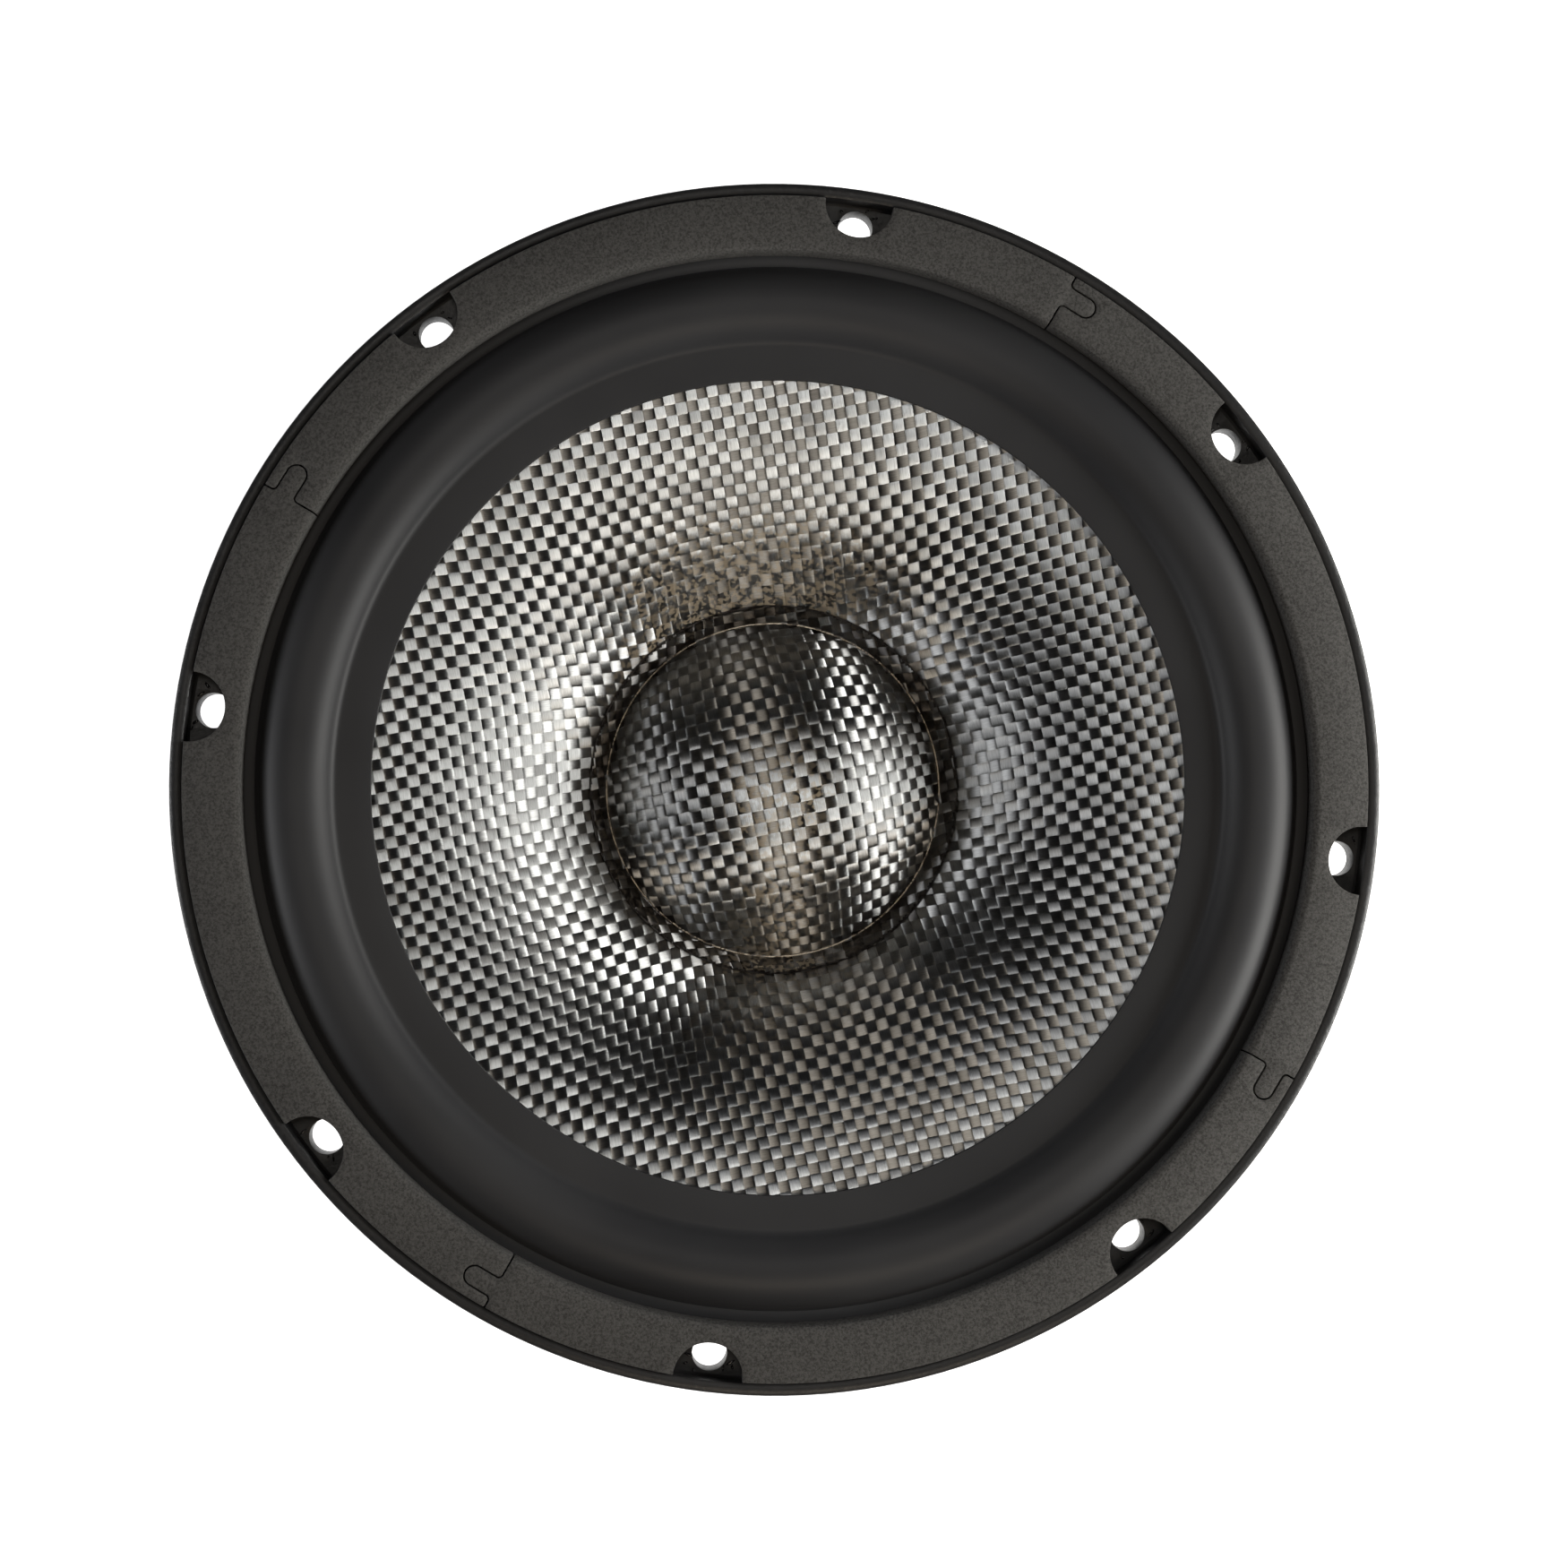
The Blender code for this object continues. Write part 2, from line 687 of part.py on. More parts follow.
def main():
    clear_scene()
    casting = material("cast frame", (0.03, 0.03, 0.032), 0.45)
    foam = material("gasket foam", (0.06, 0.058, 0.054), 0.9)
    rubber = material("surround rubber", (0.02, 0.02, 0.022), 0.5)
    weave = material("glass weave", (0.45, 0.44, 0.42), 0.4)
    cap_weave = material("cap weave", (0.42, 0.41, 0.39), 0.4)
    former = material("former", (0.55, 0.45, 0.2), 0.5)
    copper = material("copper", (0.72, 0.38, 0.22), 0.35, 1.0)
    cloth = material("spider cloth", (0.62, 0.46, 0.22), 0.9)
    steel = material("zinc steel", (0.55, 0.56, 0.58), 0.4, 1.0)
    ferrite = material("ferrite", (0.06, 0.06, 0.065), 0.6)
    boot = material("boot rubber", (0.015, 0.015, 0.016), 0.6)
    screen = material("vent screen", (0.3, 0.3, 0.31), 0.4, 1.0)
    screw = material("screw steel", (0.12, 0.12, 0.13), 0.4, 1.0)
    board = material("board", (0.2, 0.11, 0.06), 0.6)
    blade = material("tin plate", (0.75, 0.74, 0.7), 0.3, 1.0)
    brass = material("rivet brass", (0.78, 0.6, 0.3), 0.35, 1.0)
    tinsel = material("tinsel braid", (0.6, 0.42, 0.28), 0.5, 1.0)
    solder = material("solder", (0.6, 0.6, 0.62), 0.35, 1.0)
    build_basket(casting)
    build_gasket(foam)
    build_surround(rubber)
    build_cone(weave)
    build_dust_cap(cap_weave)
    build_coil(former, copper)
    build_spider(cloth)
    build_motor(steel, ferrite, copper, boot, screen)
    build_screws(screw)
    build_terminals(board, blade, brass)
    build_leads(tinsel, solder)


main()
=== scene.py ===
"""The visual model of a 210 mm car loudspeaker with a woven cone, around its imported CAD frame."""

from math import cos, pi, radians, sin

import bmesh
import bpy
import numpy as np
from mathutils import Matrix, Vector


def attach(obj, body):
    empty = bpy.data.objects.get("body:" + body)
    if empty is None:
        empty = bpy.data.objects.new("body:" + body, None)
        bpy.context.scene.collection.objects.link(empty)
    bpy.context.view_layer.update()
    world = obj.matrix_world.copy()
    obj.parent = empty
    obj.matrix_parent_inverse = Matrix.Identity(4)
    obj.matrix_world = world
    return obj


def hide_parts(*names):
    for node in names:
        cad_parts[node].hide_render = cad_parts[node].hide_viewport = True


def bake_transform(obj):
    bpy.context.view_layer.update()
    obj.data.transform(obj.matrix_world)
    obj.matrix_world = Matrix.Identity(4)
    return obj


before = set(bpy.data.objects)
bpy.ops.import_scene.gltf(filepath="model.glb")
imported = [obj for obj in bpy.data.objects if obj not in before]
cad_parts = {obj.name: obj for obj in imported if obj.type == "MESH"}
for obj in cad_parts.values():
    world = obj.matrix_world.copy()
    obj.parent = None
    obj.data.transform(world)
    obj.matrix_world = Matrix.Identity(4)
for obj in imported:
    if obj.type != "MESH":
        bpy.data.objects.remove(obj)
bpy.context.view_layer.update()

MM = 0.001
FRAME = "frame"
MOVING = "moving_assembly"
ROUND = 192  # sides of a turned piece

# Front geometry, in millimetres and degrees, as in the CAD.
RIM_R = 105.0
LIP_IN_R = 102.9
LIP_TOP_Z = 87.4
FLANGE_REAR_Z = 80.0
FLANGE_FLOOR_Z = 84.0
STEP_R = 95.2
STEP_Z = 82.7
HOLE_CIRCLE_R = 98.9
HOLE_R = 3.05
HOLE_FIRST_DEG = 37.5
GASKET_LOW_Z = 84.3
GASKET_TOP_Z = 88.0
GASKET_IN_R = 92.9
GASKET_OUT_R = 102.7
JOINT_FIRST_DEG = 60.0
NOTCH_R = 6.0
NOTCH_CENTRE_R = 102.3
TAB_CENTRE_R = 98.95
TAB_HALF_WIDTH = 1.75
TAB_LENGTH = 5.9
TAB_FILLET = 0.8
JOINT_HALF_GAP = 0.14
KEEP_IN_R = 90.0  # a gasket segment's cutting outline, past the gasket's own edges
KEEP_OUT_R = 105.5
ROLL_IN_R = 77.9
ROLL_OUT_R = 91.0
ROLL_FOOT_Z = 83.5
ROLL_HEIGHT = 4.1
SURROUND_IN_R = 71.4
CAP_EDGE_R = 31.1
CAP_FLANGE_R = 34.2
CAP_FLANGE_Z = 59.5
CAP_EDGE_Z = 55.6
CAP_HEIGHT = 15.0
CAP_THICKNESS = 0.6
CONE_THICKNESS = 0.75
LEGS = 6
HOLES = 8
SEGMENTS = 4

# The cone's front as (radius, height), from its glued edge to its neck.
CONE_FRONT = [
    (77.2, 81.9),
    (71.9, 81.9),
    (63.0, 78.5),
    (54.5, 74.4),
    (46.0, 69.4),
    (39.5, 64.4),
    (35.0, 59.9),
    (31.0, 54.6),
    (25.9, 48.7),
]

# Weave. Pitches are in millimetres, and the rest in pitches.
YARN_PITCH = 1.96
CAP_PITCH = 2.27
WEAVE_DEG = 11.5
YARN_WIDTH = 1.0
CRIMP = 0.028  # how far a float rises over its neighbours
CRIMP_POWER = 5  # how flat a float stays before it dives
CROWN = 0.035  # how far a yarn's middle stands over its sides
CROWN_POWER = 6
CLEAR = 0.05  # the yarns' height over the shell
DRIFT = 0.022  # spread of the yarns' places
SLIP = 0.012  # spread of the floats' places along their yarn
SWAY = 0.03
WIDTH_SPREAD = 0.03

rng = np.random.default_rng(8)


# ---------------------------------------------------------------- materials


class Nodes:
    """A short way to write one material's node tree."""

    def __init__(self, name):
        self.material = bpy.data.materials.new(name)
        self.material.use_nodes = True
        self.tree = self.material.node_tree
        self.shader = self.tree.nodes["Principled BSDF"]

    def add(self, kind, inputs=None, **settings):
        node = self.tree.nodes.new(kind)
        for key, value in settings.items():
            setattr(node, key, value)
        for key, value in (inputs or {}).items():
            self.put(node.inputs[key], value)
        return node

    def put(self, socket, value):
        if isinstance(value, bpy.types.NodeSocket):
            self.tree.links.new(value, socket)
        else:
            socket.default_value = value

    def set(self, **values):
        for key, value in values.items():
            self.put(self.shader.inputs[key.replace("_", " ")], value)

    def where(self):
        return self.add("ShaderNodeTexCoord").outputs["Object"]

    def noise(self, scale, detail=3.0, vector=None, roughness=0.55):
        inputs = {"Scale": scale, "Detail": detail, "Roughness": roughness}
        inputs["Vector"] = vector or self.where()
        return self.add("ShaderNodeTexNoise", inputs).outputs["Fac"]

    def ramp(self, value, stops):
        node = self.add("ShaderNodeValToRGB", {"Fac": value})
        while len(node.color_ramp.elements) < len(stops):
            node.color_ramp.elements.new(0.5)
        for element, (place, colour) in zip(node.color_ramp.elements, stops):
            element.position = place
            element.color = (*colour, 1.0)
        return node.outputs["Color"]

    def span(self, value, low, high, to_low=0.0, to_high=1.0):
        inputs = {"Value": value, 1: low, 2: high, 3: to_low, 4: to_high}
        return self.add("ShaderNodeMapRange", inputs).outputs["Result"]

    def mix(self, factor, first, second):
        node = self.add("ShaderNodeMix", data_type="RGBA")
        self.put(node.inputs[0], factor)
        self.put(node.inputs[6], first)
        self.put(node.inputs[7], second)
        return node.outputs[2]

    def math(self, operation, first, second):
        node = self.add("ShaderNodeMath", operation=operation)
        self.put(node.inputs[0], first)
        self.put(node.inputs[1], second)
        return node.outputs[0]

    def bump(self, height, strength, distance):
        inputs = {"Height": height, "Strength": strength, "Distance": distance}
        return self.add("ShaderNodeBump", inputs).outputs["Normal"]


def plain(name, dark, light, scale, roughness, metallic=0.0, bump=0.2, depth=0.00005):
    """A finish whose colour and roughness wander between two values, with fine grain as bump."""
    n = Nodes(name)
    patch = n.noise(scale, 4.0)
    fine = n.noise(scale * 9, 2.0)
    n.set(Metallic=metallic)
    n.set(Base_Color=n.ramp(patch, [(0.3, dark), (0.7, light)]))
    n.set(Roughness=n.span(patch, 0.3, 0.7, roughness - 0.06, roughness + 0.06))
    n.set(Normal=n.bump(fine, bump, depth))
    return n.material


def foam_material():
    """Closed-cell foam: fine dark and light grain over a slow change of tone."""
    n = Nodes("gasket foam")
    coat = n.noise(60.0, 3.0)
    grain = n.noise(2300.0, 2.0, roughness=0.7)
    cells = n.add("ShaderNodeTexVoronoi", {"Vector": n.where(), "Scale": 900.0})
    pits = n.span(cells.outputs["Distance"], 0.05, 0.3)
    base = n.ramp(coat, [(0.3, (0.052, 0.0505, 0.049)), (0.7, (0.067, 0.065, 0.062))])
    speck = n.ramp(grain, [(0.34, (0.028, 0.027, 0.026)), (0.62, (0.116, 0.113, 0.108))])
    n.set(Base_Color=n.mix(0.55, base, speck), Roughness=0.88)
    height = n.math("ADD", n.math("MULTIPLY", pits, 0.5), grain)
    n.set(Normal=n.bump(height, 0.8, 0.0001))
    n.set(Specular_IOR_Level=0.24)
    return n.material


def rubber_material():
    n = Nodes("surround rubber")
    patch = n.noise(25.0, 3.0)
    fine = n.noise(2600.0, 2.0)
    tone = n.ramp(patch, [(0.3, (0.026, 0.026, 0.028)), (0.7, (0.036, 0.036, 0.038))])
    n.set(Base_Color=tone)
    n.set(Roughness=n.span(patch, 0.3, 0.7, 0.47, 0.53))
    n.set(Specular_IOR_Level=0.31)
    n.set(Normal=n.bump(fine, 0.12, 0.00003))
    return n.material


def paint_material():
    """Textured black paint on the casting: lightly grained, glossier in its hollows."""
    n = Nodes("cast frame paint")
    patch = n.noise(40.0, 3.0)
    fine = n.noise(1500.0, 3.0, roughness=0.7)
    tone = n.ramp(patch, [(0.3, (0.011, 0.011, 0.012)), (0.7, (0.019, 0.0185, 0.019))])
    n.set(Base_Color=tone)
    n.set(Roughness=n.span(fine, 0.3, 0.7, 0.34, 0.5))
    n.set(Normal=n.bump(fine, 0.5, 0.00014))
    return n.material


def yarn_material(name):
    """Flat silvery yarn in clear resin: fibres run along U, and their sheen spreads across them.

    The attribute "tone" is how bright a float is, lowered by painted shade at the cone's neck and
    on the cap's flange, and the other attribute is how much tan crumbs cover it.
    """
    n = Nodes(name)
    uv = n.add("ShaderNodeUVMap", uv_map="yarn").outputs["UV"]
    stretch = n.add("ShaderNodeVectorMath", {0: uv, 1: (0.3, 7.0, 1.0)}, operation="MULTIPLY")
    streak = n.noise(2.2, 3.0, stretch.outputs[0], 0.65)
    tone = n.add("ShaderNodeAttribute", attribute_name="tone").outputs["Fac"]
    stain = n.add("ShaderNodeAttribute", attribute_name="stain").outputs["Fac"]
    fibre = n.ramp(streak, [(0.3, (0.38, 0.383, 0.38)), (0.6, (0.57, 0.577, 0.573))])
    # painted shade: a low tone, as at the neck and on the cap's flange, darkens the silver towards
    # near black
    silver = n.mix(n.span(tone, -0.6, 0.7, 1.0, 0.0), fibre, (0.07, 0.064, 0.06, 1))
    crumbs = n.span(n.noise(1100.0, 2.0, roughness=0.5), 0.49, 0.53)
    tan = n.math("MULTIPLY", n.math("MINIMUM", n.math("MULTIPLY", stain, 1.6), 1.0), crumbs)
    bump = n.bump(streak, 0.3, 0.00003)
    tangent = n.add("ShaderNodeTangent", direction_type="UV_MAP", uv_map="yarn").outputs[0]
    n.set(Base_Color=n.mix(tan, (0.014, 0.011, 0.009, 1), (0.37, 0.3, 0.21, 1)))
    n.set(Anisotropic=1.0, Anisotropic_Rotation=0.25)
    n.set(Roughness=0.42, Normal=bump, Tangent=tangent)
    sheen = n.add(
        "ShaderNodeBsdfAnisotropic",
        {"Color": silver, "Roughness": 0.51, "Anisotropy": 0.7, "Normal": bump, "Tangent": tangent},
        distribution="BECKMANN",
    )
    share = n.span(tan, 0.0, 1.0, 0.9, 0.45)
    both = n.add("ShaderNodeMixShader", {0: share, 1: n.shader.outputs[0], 2: sheen.outputs[0]})
    n.put(n.tree.nodes["Material Output"].inputs["Surface"], both.outputs[0])
    return n.material


def resin_material():
    """The dark cured resin seen between the yarns and on the back of the cone."""
    n = Nodes("cone resin")
    turned = n.add(
        "ShaderNodeMapping", {"Vector": n.where(), "Rotation": (0, 0, radians(-WEAVE_DEG))}
    ).outputs[0]
    checks = n.add("ShaderNodeTexChecker", {"Vector": turned, "Scale": 1000 / YARN_PITCH})
    patch = n.noise(150.0, 3.0)
    dark = n.ramp(patch, [(0.3, (0.012, 0.009, 0.008)), (0.7, (0.023, 0.018, 0.015))])
    faint = n.math("MULTIPLY", checks.outputs["Fac"], 0.3)
    n.set(Base_Color=n.mix(faint, dark, (0.09, 0.085, 0.08, 1)), Roughness=0.35)
    n.set(Normal=n.bump(checks.outputs["Fac"], 0.3, 0.0001))
    return n.material


def bead_material():
    """The thin pale line of adhesive in the crease round the dust cap."""
    n = Nodes("crease adhesive")
    patch = n.noise(500.0, 3.0)
    n.set(Base_Color=n.ramp(patch, [(0.35, (0.16, 0.12, 0.08)), (0.55, (0.85, 0.74, 0.58))]))
    n.set(Roughness=n.span(patch, 0.3, 0.7, 0.2, 0.35))
    return n.material


def glue_material():
    """The glossy black glue that shows in the gasket's notches."""
    n = Nodes("black adhesive")
    patch = n.noise(300.0, 2.0)
    n.set(Base_Color=n.ramp(patch, [(0.3, (0.004, 0.004, 0.005)), (0.7, (0.012, 0.012, 0.013))]))
    n.set(Roughness=n.span(patch, 0.3, 0.7, 0.08, 0.2), Normal=n.bump(patch, 0.6, 0.0004))
    return n.material


def turned_metal(name, dark, light, roughness, fine=700.0):
    """Plated or ground metal with the fine rings that a lathe leaves."""
    n = Nodes(name)
    patch = n.noise(70.0, 4.0)
    rings = n.add(
        "ShaderNodeTexWave",
        {"Vector": n.where(), "Scale": fine, "Distortion": 1.5, "Detail": 2.0},
        wave_type="RINGS",
        rings_direction="Z",
    ).outputs["Fac"]
    n.set(Base_Color=n.ramp(patch, [(0.3, dark), (0.7, light)]), Metallic=1.0)
    n.set(Roughness=n.span(patch, 0.3, 0.7, roughness - 0.07, roughness + 0.07))
    n.set(Normal=n.bump(rings, 0.15, 0.00002))
    return n.material


def cloth_material():
    """Resin-treated cloth: a coarse plain weave with its threads a little uneven, and painted shade
    where the threads dip.
    """
    n = Nodes("spider cloth")
    x, y = (
        n.add(
            "ShaderNodeTexWave",
            {"Vector": n.where(), "Scale": 290.0, "Distortion": 0.4, "Detail": 1.0},
            bands_direction=way,
        ).outputs["Fac"]
        for way in "XY"
    )
    checks = n.add("ShaderNodeTexChecker", {"Vector": n.where(), "Scale": 922.0}).outputs["Fac"]
    threads = n.math("MULTIPLY", x, y)
    height = n.math("MULTIPLY", threads, n.span(checks, 0, 1, 0.6, 1.0))
    patch = n.noise(60.0, 3.0)
    low = n.ramp(patch, [(0.3, (0.3, 0.2, 0.08)), (0.7, (0.4, 0.28, 0.12))])
    # painted shade: the colour darkens to low where the threads dip, between and under them
    n.set(Base_Color=n.mix(height, low, (0.66, 0.5, 0.25, 1)))
    n.set(Roughness=0.62, Normal=n.bump(height, 0.6, 0.0002))
    return n.material


def winding_material():
    """Enamelled wire laid turn on turn, with painted shade in the grooves between the turns."""
    n = Nodes("enamelled winding")
    turns = n.add(
        "ShaderNodeTexWave", {"Vector": n.where(), "Scale": 1100.0}, bands_direction="Z"
    ).outputs["Fac"]
    # painted shade: the colour darkens in the grooves between turns, where the bump dips
    n.set(Base_Color=n.ramp(turns, [(0.1, (0.3, 0.1, 0.04)), (0.7, (0.75, 0.34, 0.18))]))
    n.set(Metallic=0.9, Roughness=0.3, Normal=n.bump(turns, 0.7, 0.0001))
    return n.material


# ---------------------------------------------------------------- mesh tools


def new_piece(name, points, faces, look=None, body=None, replaces=(), sharp=35.0):
    """One mesh piece from points in millimetres. A cutter has no look and no body."""
    mesh = bpy.data.meshes.new(name)
    mesh.from_pydata((np.asarray(points, float) * MM).tolist(), [], faces)
    tidy = bmesh.new()
    tidy.from_mesh(mesh)
    bmesh.ops.recalc_face_normals(tidy, faces=tidy.faces)
    tidy.to_mesh(mesh)
    tidy.free()
    obj = bpy.data.objects.new(name, mesh)
    bpy.context.scene.collection.objects.link(obj)
    finish_piece(obj, look, body, replaces, sharp)
    return obj


def finish_piece(obj, look, body, replaces=(), sharp=35.0):
    if look:
        obj.data.materials.clear()
        obj.data.materials.append(look)
    smooth(obj, sharp)
    if body:
        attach(obj, body)
    if replaces:
        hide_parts(*replaces)


def smooth(obj, sharp):
    obj.data.polygons.foreach_set("use_smooth", [True] * len(obj.data.polygons))
    obj.data.set_sharp_from_angle(angle=radians(sharp))


def bake(obj):
    """Applies obj's modifiers, and removes the helpers they used."""
    cutters = {m.object for m in obj.modifiers if m.type == "BOOLEAN"}
    graph = bpy.context.evaluated_depsgraph_get()
    mesh = bpy.data.meshes.new_from_object(obj.evaluated_get(graph))
    obj.modifiers.clear()
    obj.data = mesh
    mesh.name = obj.name
    for cutter in cutters:
        bpy.data.objects.remove(cutter)


def boolean(obj, operation, other):
    modifier = obj.modifiers.new(operation, "BOOLEAN")
    modifier.operation = operation
    modifier.solver = "EXACT"
    modifier.object = other


def bevel(obj, width, angle=35.0):
    """Rounds the edges sharper than angle, in degrees. The width is in millimetres."""
    modifier = obj.modifiers.new("Bevel", "BEVEL")
    modifier.width = width * MM
    modifier.segments = 2
    modifier.limit_method = "ANGLE"
    modifier.angle_limit = radians(angle)
    modifier.use_clamp_overlap = True


def arc(centre, radius, first_deg, last_deg, steps):
    turns = np.radians(np.linspace(first_deg, last_deg, steps + 1))
    return [(centre[0] + radius * cos(a), centre[1] + radius * sin(a)) for a in turns]


def polar(radius, degrees):
    return radius * cos(radians(degrees)), radius * sin(radians(degrees))


def turned(
    name, profile, look, body=None, slot=None, replaces=(), steps=ROUND, sharp=35.0
):
    """The closed profile of (radius, height) turned about Z."""
    count = len(profile)
    points = []
    faces = []
    for step in range(steps):
        angle = 2 * pi * step / steps
        points += [(r * cos(angle), r * sin(angle), z) for r, z in profile]
        after = (step + 1) % steps
        for i in range(count):
            j = (i + 1) % count
            faces.append(
                (step * count + i, step * count + j, after * count + j, after * count + i)
            )
    return new_piece(name, points, faces, look, body, replaces, sharp)


def side_faces(count):
    """The faces of a closed prism: two rings of count points, the second over the first."""
    faces = [tuple(range(count)), tuple(range(2 * count - 1, count - 1, -1))]
    for i in range(count):
        j = (i + 1) % count
        faces.append((i, j, j + count, i + count))
    return faces


def prism(name, outline, low, high, upright=False):
    """A helper: an outline pulled up from low to high, or, upright, an (x, z) one along Y."""
    points = [(x, y, z) for z in (low, high) for x, y in outline]
    if upright:
        points = [(x, z, y) for x, y, z in points]
    return new_piece(name, points, side_faces(len(outline)))


def ring_outline(x, y, radius, steps):
    return [
        (x + radius * cos(2 * pi * i / steps), y + radius * sin(2 * pi * i / steps))
        for i in range(steps)
    ]


def curve_through(points, per_span):
    """A smooth Catmull-Rom line through the points, with per_span points from each to the next."""
    spots = [Vector(p) for p in points]
    spots = [spots[0] * 2 - spots[1]] + spots + [spots[-1] * 2 - spots[-2]]
    line = []
    for a, b, c, d in zip(spots, spots[1:], spots[2:], spots[3:]):
        for k in range(per_span):
            t = k / per_span
            line.append(
                0.5
                * (
                    2 * b
                    + (c - a) * t
                    + (2 * a - 5 * b + 4 * c - d) * t * t
                    + (3 * b - 3 * c + d - a) * t**3
                )
            )
    line.append(spots[-2])
    return line


def smooth_profile(points):
    return [(p.x, p.y) for p in curve_through([(r, z, 0) for r, z in points], 6)]


# ---------------------------------------------------------------- frame casting


def window_cutter(index):
    """What opens one window between two legs: a rounded outline pulled outwards from the axis."""
    middle = 360 / LEGS * (index + 0.5)
    corner = 4.5
    mean_r = 80.0
    low_z, high_z = 51.0, 72.5
    half_low = radians(19.5) * mean_r
    half_high = radians(22.0) * mean_r
    outline = arc((half_low - corner, low_z + corner), corner, -90, 0, 6)
    outline += arc((half_high - corner, high_z - corner), corner, 0, 90, 6)
    outline += [(half_high * part, high_z) for part in np.linspace(0.8, -0.8, 17)]
    outline += arc((-half_high + corner, high_z - corner), corner, 90, 180, 6)
    outline += arc((-half_low + corner, low_z + corner), corner, 180, 270, 6)
    outline += [(half_low * part, low_z) for part in np.linspace(-0.7, 0.7, 15)]
    points = []
    for radius in (58.0, 112.0):
        for across, height in outline:
            points.append((*polar(radius, middle + across / mean_r * 180 / pi), height))
    return new_piece(f"window_cutter_{index}", points, side_faces(len(outline)))


def leg_rib(index):
    """The rib down the back of one leg."""
    angle = radians(360 / LEGS * index)
    half_width = 1.6
    section = [(62.5, 45.0), (66.6, 45.0), (97.6, 76.5), (97.6, 80.6), (89.5, 74.5), (63.5, 48.0)]
    along = Vector((cos(angle), sin(angle)))
    across = Vector((-along.y, along.x))
    points = []
    for side in (-half_width, half_width):
        for r, z in section:
            spot = along * r + across * side
            points.append((spot.x, spot.y, z))
    return new_piece(f"leg_rib_{index}", points, side_faces(len(section)))


def screw_spots():
    return [polar(50.5, 47.0 + 90 * i) for i in range(4)]


def hole_turns():
    return [HOLE_FIRST_DEG + 360 / HOLES * i for i in range(HOLES)]


def hole_spots():
    return [polar(HOLE_CIRCLE_R, turn) for turn in hole_turns()]


def build_basket(paint):
    """The casting: a turned section with legs, windows, holes and the pad for the terminals."""
    profile = [
        (44.0, 37.2),
        (61.6, 37.2),
        (62.0, 37.6),
        (62.4, 44.0),
        (64.6, 46.2),
        (92.4, 74.0),
        (93.4, 76.5),
        (93.8, FLANGE_REAR_Z),
        (104.4, FLANGE_REAR_Z),
        (104.8, 80.2),
        (RIM_R, 80.7),
        (RIM_R, LIP_TOP_Z - 0.7),
        (104.8, LIP_TOP_Z - 0.2),
        (104.3, LIP_TOP_Z),
        (103.5, LIP_TOP_Z),
        (LIP_IN_R, LIP_TOP_Z - 0.3),
        (LIP_IN_R - 0.1, FLANGE_FLOOR_Z + 0.4),
        (LIP_IN_R - 0.5, FLANGE_FLOOR_Z),
        (STEP_R, FLANGE_FLOOR_Z),
        (STEP_R, STEP_Z),
        (90.8, STEP_Z),
        (90.2, 76.5),
        (89.2, 74.6),
        (62.6, 48.2),
        (61.8, 46.0),
        (55.6, 46.0),
        (55.6, 41.2),
        (44.0, 41.2),
    ]
    basket = turned("basket_casting", profile, paint)
    for index in range(LEGS):
        boolean(basket, "UNION", leg_rib(index))
    for index in range(LEGS):
        boolean(basket, "DIFFERENCE", window_cutter(index))
    section = [(57, 38.1), (70, 38.1), (70, 49), (65.2, 49), (62.9, 45.7), (57, 45.5)]
    points = [(side, y, z) for side in (-16, 16) for y, z in section]
    boolean(basket, "UNION", new_piece("pad", points, side_faces(len(section))))
    for index, (x, y) in enumerate(hole_spots()):
        hole = prism(f"hole_{index}", ring_outline(x, y, HOLE_R, 40), 78.0, 86.0)
        boolean(basket, "DIFFERENCE", hole)
    for index, (x, y) in enumerate(screw_spots()):
        shank = prism(f"shank_{index}", ring_outline(x, y, 2.9, 24), 36, 40)
        boolean(basket, "DIFFERENCE", shank)
        seat = prism(f"seat_{index}", ring_outline(x, y, 4.7, 32), 39.2, 42)
        boolean(basket, "DIFFERENCE", seat)
    rivet_hole = prism("rivet_hole", ring_outline(0, 43.5, 1.9, 16), 60, 74, upright=True)
    boolean(basket, "DIFFERENCE", rivet_hole)
    bevel(basket, 0.35)
    bake(basket)
    finish_piece(basket, paint, FRAME, ["basket"], 40.0)


# ---------------------------------------------------------------- motor, terminals


def refined(node, look, body=FRAME, width=0.2):
    """A copy of one CAD solid with its sharp edges rounded."""
    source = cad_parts[node]
    obj = bpy.data.objects.new(f"{node}_finish", source.data.copy())
    obj.data.transform(source.matrix_world)
    bpy.context.scene.collection.objects.link(obj)
    tidy = bmesh.new()
    tidy.from_mesh(obj.data)
    bmesh.ops.remove_doubles(tidy, verts=tidy.verts, dist=1e-6)
    bmesh.ops.dissolve_limit(
        tidy, angle_limit=radians(1.5), verts=tidy.verts[:], edges=tidy.edges[:]
    )
    tidy.to_mesh(obj.data)
    tidy.free()
    bevel(obj, width, 25.0)
    bake(obj)
    finish_piece(obj, look, body, [node], 30.0)


